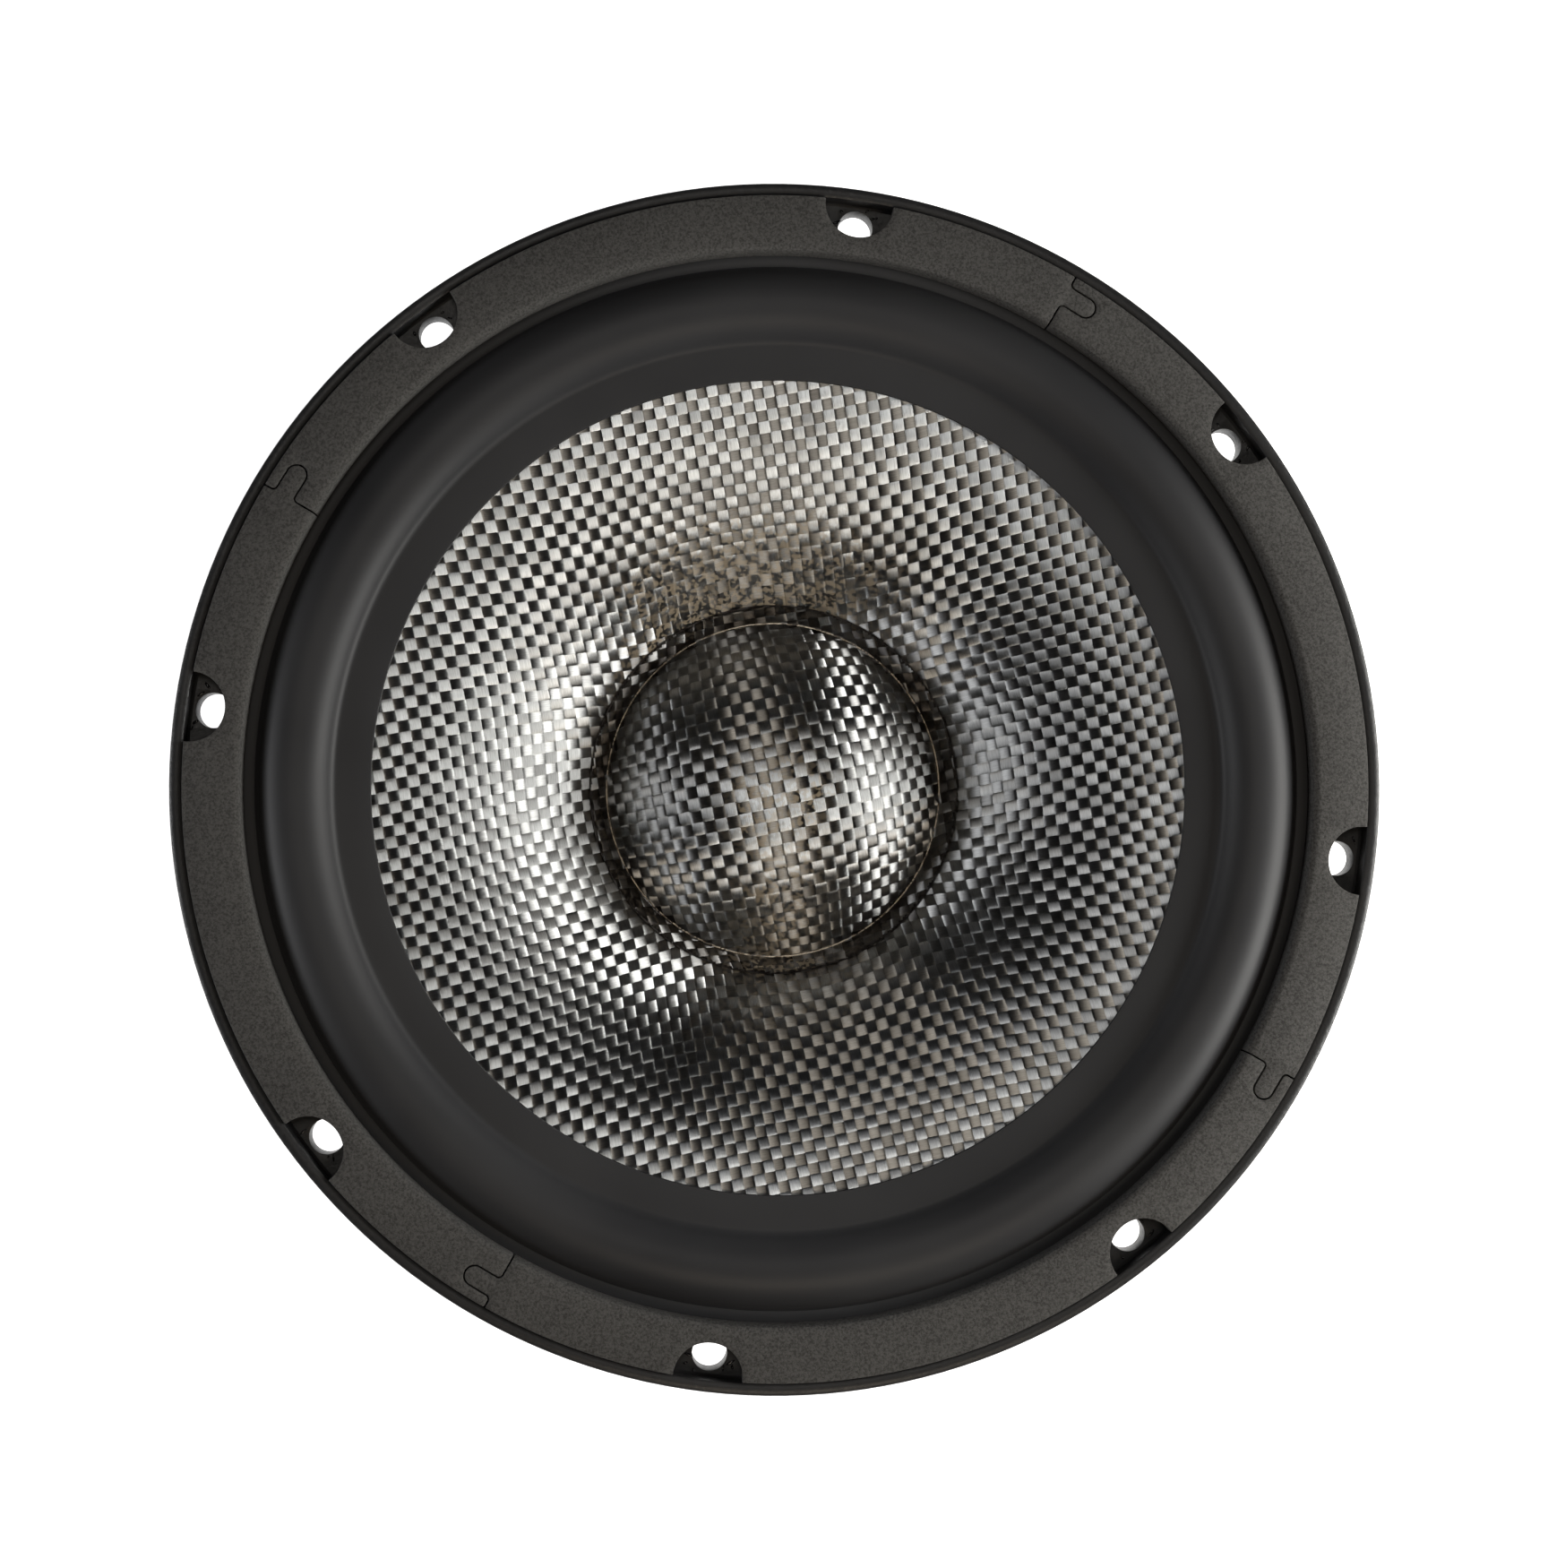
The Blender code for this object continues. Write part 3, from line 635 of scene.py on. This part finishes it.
def build_motor():
    steel = turned_metal("zinc plated steel", (0.42, 0.42, 0.44), (0.6, 0.6, 0.61), 0.34)
    ferrite = plain("ground ferrite", (0.03, 0.03, 0.033), (0.07, 0.07, 0.075), 150.0, 0.6)
    copper = turned_metal("bare copper", (0.68, 0.33, 0.18), (0.8, 0.45, 0.28), 0.26)
    boot = plain(
        "boot rubber", (0.014, 0.014, 0.015), (0.026, 0.026, 0.027), 45.0, 0.52, 0, 0.4, 0.0001
    )
    yoke = [(9, 2.8), (9.5, 2.3), (55.5, 2.3), (56, 2.8), (56, 9.8), (55.5, 10.3)]
    yoke += [(24.2, 10.3), (23.9, 10.6), (23.9, 38.4), (23.4, 38.9), (9.5, 38.9), (9, 38.4)]
    turned("yoke_and_pole", yoke, steel, FRAME, "motor_steel", ["t_yoke"])
    ring = [(33, 11.1), (33.5, 10.6), (59.5, 10.6), (60, 11.1), (60, 28.1), (59.5, 28.6)]
    ring += [(33.5, 28.6), (33, 28.1)]
    turned("magnet_ring", ring, ferrite, FRAME, "ferrite", ["magnet"])
    plate_ring = [(27, 29.3), (27.4, 28.9), (55.6, 28.9), (56, 29.3), (56, 36.5), (55.6, 36.9)]
    plate_ring += [(27.4, 36.9), (27, 36.5)]
    plate = turned("plate_ring", plate_ring, steel)
    for index, (x, y) in enumerate(screw_spots()):
        hole = prism(f"thread_{index}", ring_outline(x, y, 2.8, 24), 31.3, 38)
        boolean(plate, "DIFFERENCE", hole)
    bake(plate)
    finish_piece(plate, steel, FRAME, ["top_plate"])
    shell = [(10, 0.35), (10.35, 0), (60.6, 0)]
    shell += arc((60.6, 2.0), 2.0, -90, 0, 8)
    shell += [(62.6, 4.2), (62.15, 4.5), (62.15, 5.3), (62.6, 5.6)]
    shell += [(62.6, 28.9), (62.15, 29.2), (62.15, 30.0), (62.6, 30.3)]
    shell += arc((61.6, 32.5), 1.0, 0, 180, 10)
    shell += [(60.6, 2.6), (60.0, 2.0), (10.35, 2.0), (10, 1.65)]
    turned("boot_shell", shell, boot, FRAME, "boot_rubber", ["magnet_boot"])
    refined("pole_copper_cap", copper, width=0.12)
    screen = plain("punched screen", (0.2, 0.2, 0.21), (0.36, 0.36, 0.37), 300.0, 0.38, 1.0)
    refined("vent_screen", screen, width=0.08)
    black_zinc = plain("black zinc", (0.08, 0.08, 0.09), (0.17, 0.17, 0.18), 400.0, 0.36, 1.0)
    for index in range(4):
        refined(f"frame_screw_{index + 1}", black_zinc)
    former = plain("coil former", (0.42, 0.3, 0.1), (0.56, 0.42, 0.17), 200.0, 0.3, 0, 0.1, 0.00002)
    for node, look in (("voice_coil_former", former), ("voice_coil_winding", winding_material())):
        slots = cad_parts[node].data.materials
        slots.clear()
        slots.append(look)


def build_terminals():
    laminate = plain("laminate", (0.13, 0.07, 0.035), (0.24, 0.135, 0.075), 220.0, 0.45)
    tin = plain("tin plate", (0.6, 0.59, 0.55), (0.78, 0.77, 0.73), 350.0, 0.28, 1.0, 0.12, 0.00003)
    brass = plain("rivet brass", (0.66, 0.48, 0.2), (0.82, 0.63, 0.32), 400.0, 0.28, 1.0)
    solder = plain("solder", (0.5, 0.5, 0.51), (0.68, 0.68, 0.7), 600.0, 0.25, 1.0, 0.4, 0.0002)
    refined("terminal_board", laminate, width=0.25)
    refined("board_rivet", brass)
    for pole in ("positive", "negative"):
        refined(f"blade_{pole}", tin, width=0.15)
        refined(f"rivet_{pole}", brass)
        refined(f"lead_anchor_{pole}", solder, MOVING, 0.3)


def build_leads():
    """Braided tinsel from each rivet to its solder spot on the cone."""
    braid = plain("tinsel braid", (0.48, 0.31, 0.19), (0.72, 0.55, 0.4), 900.0, 0.36, 1.0)
    stops = [(1, 68.9, 55), (1, 66, 54.4), (0.99, 61.5, 53), (0.96, 56, 52), (0.92, 50, 52.6)]
    stops += [(0.88, 44.5, 55.2), (0.86, 40.8, 58.1), (0.86, 38.75, 60.1)]
    around, strands, twist = 24, 4, 2.4
    radius, relief = 0.8, 0.09
    for pole, side in (("positive", -8.5), ("negative", 8.5)):
        line = curve_through([(x * side, y, z) for x, y, z in stops], 34)
        points = []
        run = 0.0
        for index, spot in enumerate(line):
            before, after = line[max(index - 1, 0)], line[min(index + 1, len(line) - 1)]
            ahead = (after - before).normalized()
            run += (spot - before).length if index else 0.0
            across = ahead.cross(Vector((1, 0, 0))).normalized()
            third = ahead.cross(across)
            for step in range(around):
                turn = 2 * pi * step / around
                one, two = strands * turn + twist * run, strands * turn - twist * run
                reach = radius + relief * max(abs(sin(one)), abs(sin(two)))
                points.append(spot + (across * cos(turn) + third * sin(turn)) * reach)
        last = len(points) - 1
        faces = [tuple(range(around)), tuple(range(last, last - around, -1))]
        for index in range(len(line) - 1):
            for step in range(around):
                here, beside = index * around + step, index * around + (step + 1) % around
                faces.append((here, beside, beside + around, here + around))
        name = f"tinsel_lead_{pole}"
        lead = new_piece(f"braid_{pole}", points, faces, braid, None, [name], 60.0)
        between(lead, lead_weight)


def eased(t):
    t = np.clip(t, 0, 1)
    return t * t * (3 - 2 * t)


def lead_weight(points):
    still_y, free_y = 65.0, 41.0
    return eased((still_y - points[:, 1]) / (still_y - free_y))


def build_spider(cloth):
    """The corrugated disc that centres the coil, in rings that follow one wave."""
    wave_out, wave_in, middle_z, height, thickness = 55.4, 29.5, 46.9, 1.2, 0.6
    clamp_r, neck_r = 56.6, 27.6
    pitch = (wave_out - wave_in) / 4
    top = [(60.6, 47.2), (56.8, 47.2), (56.2, 47.1)]
    for r in np.linspace(wave_out, wave_in, 49):
        top.append((r, middle_z + height * sin(2 * pi * (wave_out - r) / pitch)))
    top += [(28.9, middle_z - 0.05), (neck_r, middle_z), (25.5, middle_z)]
    under = [(r, z - thickness) for r, z in top]
    spider = turned(
        "spider_cloth", top + under[::-1], cloth, None, "spider_cloth", ["spider"], 160, 50.0
    )
    between(spider, radial_weight(clamp_r, neck_r))


# ---------------------------------------------------------------- gasket


def joint_line(side):
    """The jigsaw line as (radius, arc): side 1 bounds the segment with the tab, -1 its socket."""
    base = JOINT_HALF_GAP * side
    half = TAB_HALF_WIDTH - base
    fillet = TAB_FILLET + base
    tip = -TAB_LENGTH + base
    top = TAB_CENTRE_R + half
    low = TAB_CENTRE_R - half
    quarter = np.linspace(0, pi / 2, 7)
    line = [(KEEP_OUT_R, base)]
    line += [(top + fillet - fillet * sin(a), base - fillet + fillet * cos(a)) for a in quarter]
    line += [
        (TAB_CENTRE_R + half * cos(a), tip + half - half * sin(a)) for a in np.linspace(0, pi, 17)
    ]
    line += [(low - fillet + fillet * cos(a), base - fillet + fillet * sin(a)) for a in quarter]
    line.append((KEEP_IN_R, base))
    return line


def build_gasket(foam):
    """Four segments cut from one turned ring, each with two notches round mounting holes."""
    profile = [
        (GASKET_IN_R, GASKET_LOW_Z),
        (GASKET_OUT_R, GASKET_LOW_Z),
        (GASKET_OUT_R, GASKET_TOP_Z - 0.35),
        (GASKET_OUT_R - 0.1, GASKET_TOP_Z - 0.1),
        (GASKET_OUT_R - 0.35, GASKET_TOP_Z),
        (94.3, GASKET_TOP_Z),
        (93.7, GASKET_TOP_Z - 0.15),
        (93.2, GASKET_TOP_Z - 0.55),
        (GASKET_IN_R + 0.05, GASKET_TOP_Z - 1.2),
        (GASKET_IN_R, GASKET_TOP_Z - 1.8),
    ]
    to_degrees = 180 / pi / TAB_CENTRE_R
    for index in range(SEGMENTS):
        start = JOINT_FIRST_DEG + 90 * index
        outline = [polar(r, start + along * to_degrees) for r, along in joint_line(1)]
        outline += [polar(KEEP_IN_R, start + 90 * step / 24) for step in range(1, 24)]
        outline += [polar(r, start + 90 + a * to_degrees) for r, a in reversed(joint_line(-1))]
        outline += [polar(KEEP_OUT_R, start + 90 * step / 24) for step in range(23, 0, -1)]
        segment = turned(f"gasket_piece_{index + 1}", profile, foam, steps=240)
        boolean(segment, "INTERSECT", prism(f"keep_{index}", outline, 83.0, 89.5))
        for number in range(2):
            x, y = polar(NOTCH_CENTRE_R, start + 22.5 + 45 * number)
            notch = prism(f"notch_{number}", ring_outline(x, y, NOTCH_R, 72), 83.0, 90.0)
            boolean(segment, "DIFFERENCE", notch)
        bevel(segment, 0.22, 50.0)
        bake(segment)
        finish_piece(
            segment, foam, FRAME, [f"gasket_segment_{index + 1}"], 30.0
        )


def glue_drops(glue):
    """Glossy drops and strings of glue on each notch's floor, round the hole."""
    drops = bmesh.new()
    for (x, y), turn in zip(hole_spots(), hole_turns()):
        notch = Vector(polar(NOTCH_CENTRE_R, turn))
        for _ in range(7):
            angle = radians(turn) + rng.uniform(-1.9, 1.9)
            reach = rng.uniform(3.4, 4.6)
            place = Vector((x + reach * cos(angle), y + reach * sin(angle), FLANGE_FLOOR_Z))
            under_lip = place.xy.length > LIP_IN_R - 0.4
            if under_lip or (place.xy - notch).length > NOTCH_R - 0.5:
                continue
            size = Vector((rng.uniform(0.25, 0.9), rng.uniform(0.12, 0.3), rng.uniform(0.1, 0.25)))
            spin = Matrix.Rotation(rng.uniform(0, pi), 4, "Z")
            matrix = Matrix.Translation(place * MM) @ spin @ Matrix.Diagonal((*(size * MM), 1))
            bmesh.ops.create_icosphere(drops, subdivisions=2, radius=1, matrix=matrix)
    mesh = bpy.data.meshes.new("glue_drops")
    drops.to_mesh(mesh)
    drops.free()
    obj = bpy.data.objects.new("glue_drops", mesh)
    bpy.context.scene.collection.objects.link(obj)
    finish_piece(obj, glue, FRAME, (), 60.0)


# ---------------------------------------------------------------- surround, cone, cap


def between(obj, weight_of):
    """obj stretches from the frame to the moving parts: weight_of(points) is 1 where it moves. This
    bakes obj's transform and works out the weights, which nothing uses.
    """
    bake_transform(obj)
    points = np.empty(len(obj.data.vertices) * 3)
    obj.data.vertices.foreach_get("co", points)
    weights = weight_of(points.reshape(-1, 3) / MM)


def radial_weight(outer, inner):
    """0 at the radius outer and beyond, and 1 within the radius inner."""

    def weight(points):
        return eased((outer - np.hypot(points[:, 0], points[:, 1])) / (outer - inner))

    return weight


def build_surround(rubber):
    """One half-roll between two flanges."""
    half = (ROLL_OUT_R - ROLL_IN_R) / 2
    middle = (ROLL_OUT_R + ROLL_IN_R) / 2
    radius = (half**2 + ROLL_HEIGHT**2) / (2 * ROLL_HEIGHT)
    centre = (middle, ROLL_FOOT_Z + ROLL_HEIGHT - radius)
    front = [(94.7, 83.9), (92.4, 83.9), (91.6, 83.85), (91.15, 83.7)]
    front += arc(centre, radius, 90 - 58, 90 + 58, 30)
    front += [(77.7, 83.55), (77.2, 83.42), (76.6, 83.33), (74, 82.95), (71.9, 82.6), (71.5, 82.48)]
    front += [(SURROUND_IN_R, 82.3)]
    under = [(94.7, 83.1), (91.6, 83.1), (91.2, 82.9)]
    under += arc(centre, radius - 0.8, 90 - 57, 90 + 57, 30)
    under += [(77.3, 82.45), (76.6, 82.3), (SURROUND_IN_R, 82.0)]
    surround = turned(
        "surround_roll", front + under[::-1], rubber, None, "surround_rubber", ["surround"], 256
    )
    between(surround, radial_weight(ROLL_OUT_R, ROLL_IN_R))


def cone_surface(look):
    """The cone's resin shell. Returns its front as (radius, height), for the yarns."""
    front = [CONE_FRONT[0]] + smooth_profile(CONE_FRONT[1:])
    back = [(r, z - CONE_THICKNESS) for r, z in front[:3]]
    for (r0, z0), (r, z), (r1, z1) in zip(front[2:], front[3:], front[4:]):
        along = Vector((r1 - r0, z1 - z0)).normalized() * CONE_THICKNESS
        back.append((r - along.y, z + along.x))
    back.append((front[-1][0], front[-1][1] - 1.3))
    turned("cone_shell", front + back[::-1], look, MOVING, "cone_weave", ["cone"], sharp=50.0)
    return front


def cap_profile():
    """The dust cap's top as (radius, height), from its middle to the edge of its flange."""
    radius = (CAP_EDGE_R**2 + CAP_HEIGHT**2) / (2 * CAP_HEIGHT)
    top_z = CAP_EDGE_Z + CAP_HEIGHT
    top = []
    for ratio in np.linspace(0, 1, 22):
        r = CAP_EDGE_R * ratio
        top.append((r, top_z - radius + (radius**2 - r**2) ** 0.5))
    return top + [(CAP_FLANGE_R, CAP_FLANGE_Z)]


def cap_surface(look):
    top = cap_profile()
    under = [(r * 0.985, z - CAP_THICKNESS) for r, z in top[:-2]]
    under += [(CAP_EDGE_R + 0.1, CAP_EDGE_Z - 0.45), (CAP_FLANGE_R + 0.05, CAP_FLANGE_Z - 0.3)]
    rings = top[1:] + under[:0:-1]
    count = len(rings)
    steps = 160
    points = [(0, 0, top[0][1]), (0, 0, under[0][1])]
    faces = []
    for step in range(steps):
        angle = 2 * pi * step / steps
        points += [(r * cos(angle), r * sin(angle), z) for r, z in rings]
        here = 2 + step * count
        there = 2 + (step + 1) % steps * count
        faces.append((0, here, there))
        faces.append((1, there + count - 1, here + count - 1))
        for i in range(count - 1):
            faces.append((here + i, here + i + 1, there + i + 1, there + i))
    new_piece("dust_cap_shell", points, faces, look, MOVING, ["dust_cap"])


def bias_stretch(u, v, edge):
    """How far out a point of the cone's flat cloth lies once pressed: it gives on the bias."""
    far = np.hypot(u, v) + 1e-9
    power = 0.95 + 0.13 * np.sin(2 * np.arctan2(v, u)) ** 2
    return edge * (far / edge) ** power


def over_dome(u, v, edge):
    """The same for the dust cap's cloth, which follows the dome's surface."""
    profile = np.array(cap_profile())
    reach = np.concatenate([[0], np.cumsum(np.hypot(*np.diff(profile, axis=0).T))])
    return np.interp(np.hypot(u, v), reach, profile[:, 0], right=edge + 9)


def cone_tan_spots(r, turn):
    """Tan spots on the cloth, spreading from the neck, mostly at the top and, in spots, at the
    bottom.
    """
    top = np.cos(turn - radians(97)).clip(0) ** 4 * np.clip((56 - r) / 14, 0, 1) * 0.8
    low = np.cos(turn - radians(272)).clip(0) ** 6 * np.clip((52 - r) / 10, 0, 1) * 0.25
    neck = np.clip((38 - r) / 4, 0, 1) * 0.12
    return top + low + neck


def cap_tan_spots(r, turn):
    """Tan spots at the cap's middle, below it and along its edge."""
    centre = np.exp(-((r / 10.0) ** 2)) * 0.45
    low = np.exp(-((r * np.cos(turn) / 8.0) ** 2)) * (np.sin(turn) < 0.2) * 0.5
    edge = np.clip((r - 30.5) / 2, 0, 1) * 0.15
    return centre + low + edge


def cone_neck_shade(r):
    """Painted shade: how much darker the cone's yarns are painted at the neck, where the cap is
    glued on.
    """
    return np.clip((38 - r) / 3, 0, 1) * 0.6


def cap_flange_shade(r):
    """Painted shade: how much darker the cap's yarns are painted on its glued flange, in the crease
    round the cap.
    """
    return np.clip((r - 30) / 1.2, 0, 1) * 1.1


def weave(name, profile, r_low, r_high, pitch, press, tan_spots_at, painted_shade_at, look, slot):
    """A plain weave on a turned surface, as the floats that lie on top: a warp and a weft piece."""
    radii = np.array([p[0] for p in profile])
    heights = np.array([p[1] for p in profile])
    order = np.argsort(radii)
    radii, heights = radii[order], heights[order]
    slopes = np.gradient(heights, radii)
    along = np.array([-0.74, -0.6, -0.46, -0.27, 0.0, 0.27, 0.46, 0.6, 0.74])
    across = np.array([-1.0, -0.9, -0.55, 0.0, 0.55, 0.9, 1.0])
    s, t = np.meshgrid(along, across, indexing="ij")
    dive = 1 - np.abs(2 * s) ** CRIMP_POWER
    dive = np.where(np.abs(s) > 0.5, -1 + np.abs(2 * (1 - np.abs(s))) ** CRIMP_POWER, dive)
    rise = CRIMP * dive + CROWN * (1 - np.abs(t) ** CROWN_POWER) + CLEAR
    rows, columns = s.shape
    corner = np.arange(rows * columns).reshape(rows, columns)
    patch = np.stack([corner[:-1, :-1], corner[1:, :-1], corner[1:, 1:], corner[:-1, 1:]], -1)
    patch = patch.reshape(-1, 4)
    heart = len(along) // 2, len(across) // 2
    count = int(r_high * 1.3 / pitch) + 2
    for way in range(2):
        drift = rng.normal(0, DRIFT, 2 * count + 1)
        widths = YARN_WIDTH * (1 + rng.normal(0, WIDTH_SPREAD, 2 * count + 1)) / 2
        waves = rng.uniform(0, 6.3, 2 * count + 1)
        points, uvs, tones, tan_spot_levels, faces = [], [], [], [], []
        for j in range(-count, count + 1):
            k = j + count
            for i in range(-count, count + 1):
                if (i + j + way) % 2:
                    continue
                middle = (i + rng.normal(0, SLIP)) * pitch
                rough = np.hypot(i, j) * pitch
                if rough > r_high * 1.35 or rough < r_low * 0.55:
                    continue
                sway = SWAY * np.sin((i + s) * 0.23 + waves[k])
                side = (j + drift[k] + sway + t * widths[k]) * pitch
                run = middle + s * pitch
                u, v = (run, side) if way == 0 else (side, run)
                r = press(u, v, r_high)
                turn = np.arctan2(v, u) + radians(WEAVE_DEG)
                x, y = r * np.cos(turn), r * np.sin(turn)
                keep = (r <= r_high + 0.3) & (r >= r_low)
                if not keep.any():
                    continue
                z = np.interp(r, radii, heights)
                slope = np.interp(r, radii, slopes)
                length = np.sqrt(1 + slope**2)
                lift = rise * pitch
                out = -slope / length * lift
                safe = np.maximum(r, 1e-6)
                spot = np.stack([x + out * x / safe, y + out * y / safe, z + lift / length], -1)
                quads = patch if keep.all() else patch[keep.reshape(-1)[patch].all(1)]
                if not len(quads):
                    continue
                faces.append((quads[:, ::-1] if way else quads) + len(points) * rows * columns)
                points.append(spot.reshape(-1, 3))
                uvs.append(np.stack([i + s, t * 0.5 + 1.7 * j], -1).reshape(-1, 2))
                tone = np.clip(rng.normal(0.5, 0.2), 0, 1)
                # painted shade: floats at the cone's neck and on the cap's flange are made darker
                tone -= painted_shade_at(r[heart]) * rng.uniform(0.5, 1.3)
                tones.append(np.full(rows * columns, tone))
                # how much of this float the tan spots cover, from where it lies
                glue = tan_spots_at(r[heart], turn[heart]) * rng.uniform(0.5, 1.5)
                tan_spot_levels.append(np.full(rows * columns, np.clip(glue, 0, 1)))
        title = f"{name}_{'weft' if way else 'warp'}"
        data = {"tone": np.concatenate(tones), "stain": np.concatenate(tan_spot_levels)}
        yarn_mesh(title, *map(np.concatenate, (points, uvs, faces)), data, look, slot)


def yarn_mesh(name, points, uvs, faces, data, look, slot):
    """One piece of many separate quad patches, with each float's data as point attributes."""
    used, faces = np.unique(faces, return_inverse=True)
    faces = faces.reshape(-1, 4)
    mesh = bpy.data.meshes.new(name)
    mesh.vertices.add(len(used))
    mesh.vertices.foreach_set("co", (points[used] * MM).ravel())
    mesh.loops.add(faces.size)
    mesh.loops.foreach_set("vertex_index", faces.ravel().astype(np.int32))
    mesh.polygons.add(len(faces))
    mesh.polygons.foreach_set("loop_start", np.arange(0, faces.size, 4, dtype=np.int32))
    mesh.polygons.foreach_set("use_smooth", np.ones(len(faces), bool))
    layer = mesh.uv_layers.new(name="yarn")
    layer.data.foreach_set("uv", uvs[used][faces.ravel()].ravel())
    for key, values in data.items():
        attribute = mesh.attributes.new(key, "FLOAT", "POINT")
        attribute.data.foreach_set("value", values[used].astype(np.float32))
    mesh.update(calc_edges=True)
    mesh.materials.append(look)
    obj = bpy.data.objects.new(name, mesh)
    bpy.context.scene.collection.objects.link(obj)
    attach(obj, MOVING)


# ---------------------------------------------------------------- studio


def soft_light(name, turn, lean, distance, size, power, colour):
    """A rectangular light, turned about the axis and leaning from overhead, aimed at the front."""
    data = bpy.data.lights.new(name, "AREA")
    data.shape = "RECTANGLE"
    data.size, data.size_y = size
    data.energy = power
    data.color = colour
    obj = bpy.data.objects.new(name, data)
    bpy.context.scene.collection.objects.link(obj)
    x, y = polar(sin(radians(lean)), turn)
    toward = Vector((x, y, cos(radians(lean))))
    obj.location = Vector((0, 0, 0.08)) + toward * distance
    obj.rotation_euler = toward.to_track_quat("Z", "Y").to_euler()


def build_floor():
    mesh = bpy.data.meshes.new("floor")
    half, z = 30.0, -0.0005
    corners = [(-half, -half, z), (half, -half, z), (half, half, z), (-half, half, z)]
    mesh.from_pydata(corners, [], [(0, 1, 2, 3)])
    floor = bpy.data.objects.new("floor", mesh)
    bpy.context.scene.collection.objects.link(floor)
    n = Nodes("pale floor")
    n.set(Base_Color=(0.9, 0.9, 0.9, 1), Roughness=0.8)
    n.set(Emission_Color=(1, 1, 1, 1), Emission_Strength=0.9)
    mesh.materials.append(n.material)


def build_studio():
    """A pale floor, a dim world that is brightest at the horizon, and four soft lights."""
    build_floor()
    world = bpy.data.worlds.new("studio")
    bpy.context.scene.world = world
    world.use_nodes = True
    tree = world.node_tree
    background = tree.nodes["Background"]
    background.inputs["Color"].default_value = (0.9, 0.93, 1.0, 1)
    where = tree.nodes.new("ShaderNodeTexCoord")
    split = tree.nodes.new("ShaderNodeSeparateXYZ")
    band = tree.nodes.new("ShaderNodeValToRGB")
    stops = [(0.0, 0.8), (0.07, 0.6), (0.15, 0.1), (0.3, 0.05), (0.55, 0.005)]
    for _ in stops[2:]:
        band.color_ramp.elements.new(0.5)
    for element, (height, level) in zip(band.color_ramp.elements, stops):
        element.position = height
        element.color = (level, level, level, 1)
    tree.links.new(where.outputs["Generated"], split.inputs[0])
    tree.links.new(split.outputs["Z"], band.inputs["Fac"])
    tree.links.new(band.outputs["Color"], background.inputs["Strength"])
    soft_light("key", -6, 68, 0.42, (0.34, 0.14), 2.05, (1.0, 0.99, 0.95))
    soft_light("front", -80, 40, 0.6, (0.22, 0.16), 0.56, (1.0, 0.86, 0.69))
    soft_light("left", 186, 71, 0.5, (0.2, 0.12), 0.67, (0.97, 0.98, 1.0))
    soft_light("overhead", 110, 16, 0.7, (0.2, 0.2), 0.42, (1.0, 0.95, 0.88))
    view = bpy.context.scene.view_settings
    view.view_transform = "Standard"
    view.look = "None"


def build_camera():
    """Nearly straight over the front, close enough for the deeper rings to look smaller."""
    tilt = radians(3.8)
    away = radians(26.5)
    distance = 0.38
    toward = Vector((-sin(tilt) * cos(away), -sin(tilt) * sin(away), cos(tilt)))
    aim = Vector((-1.78, 0.14, LIP_TOP_Z)) * MM
    data = bpy.data.cameras.new("camera")
    data.sensor_fit = "HORIZONTAL"
    data.sensor_width = 36.0
    data.lens = 51.14
    data.clip_start = 0.01
    camera = bpy.data.objects.new("camera", data)
    bpy.context.scene.collection.objects.link(camera)
    camera.location = aim + toward * distance
    right = Vector((1, 0, 0))
    back = toward.normalized()
    up = back.cross(right).normalized()
    right = up.cross(back)
    camera.rotation_euler = Matrix((right, up, back)).transposed().to_euler()
    bpy.context.scene.camera = camera


def main():
    build_camera()
    build_studio()
    paint = paint_material()
    foam = foam_material()
    rubber = rubber_material()
    resin = resin_material()
    yarn = yarn_material("silver yarn")
    build_basket(paint)
    build_gasket(foam)
    build_surround(rubber)
    front = cone_surface(resin)
    cap_surface(resin)
    bead = arc((CAP_EDGE_R + 0.05, CAP_EDGE_Z + 0.3), 0.13, 0, 315, 7)
    turned("crease_bead", bead, bead_material(), MOVING, "cap_weave")
    glue_drops(glue_material())
    build_motor()
    build_terminals()
    build_leads()
    build_spider(cloth_material())
    cone = (front, 33.4, 72.4, YARN_PITCH, bias_stretch, cone_tan_spots, cone_neck_shade)
    weave("cone_yarns", *cone, yarn, "cone_weave")
    cap = (cap_profile(), 0.0, 34.0, CAP_PITCH, over_dome, cap_tan_spots, cap_flange_shade)
    weave("cap_yarns", *cap, yarn, "cap_weave")


main()
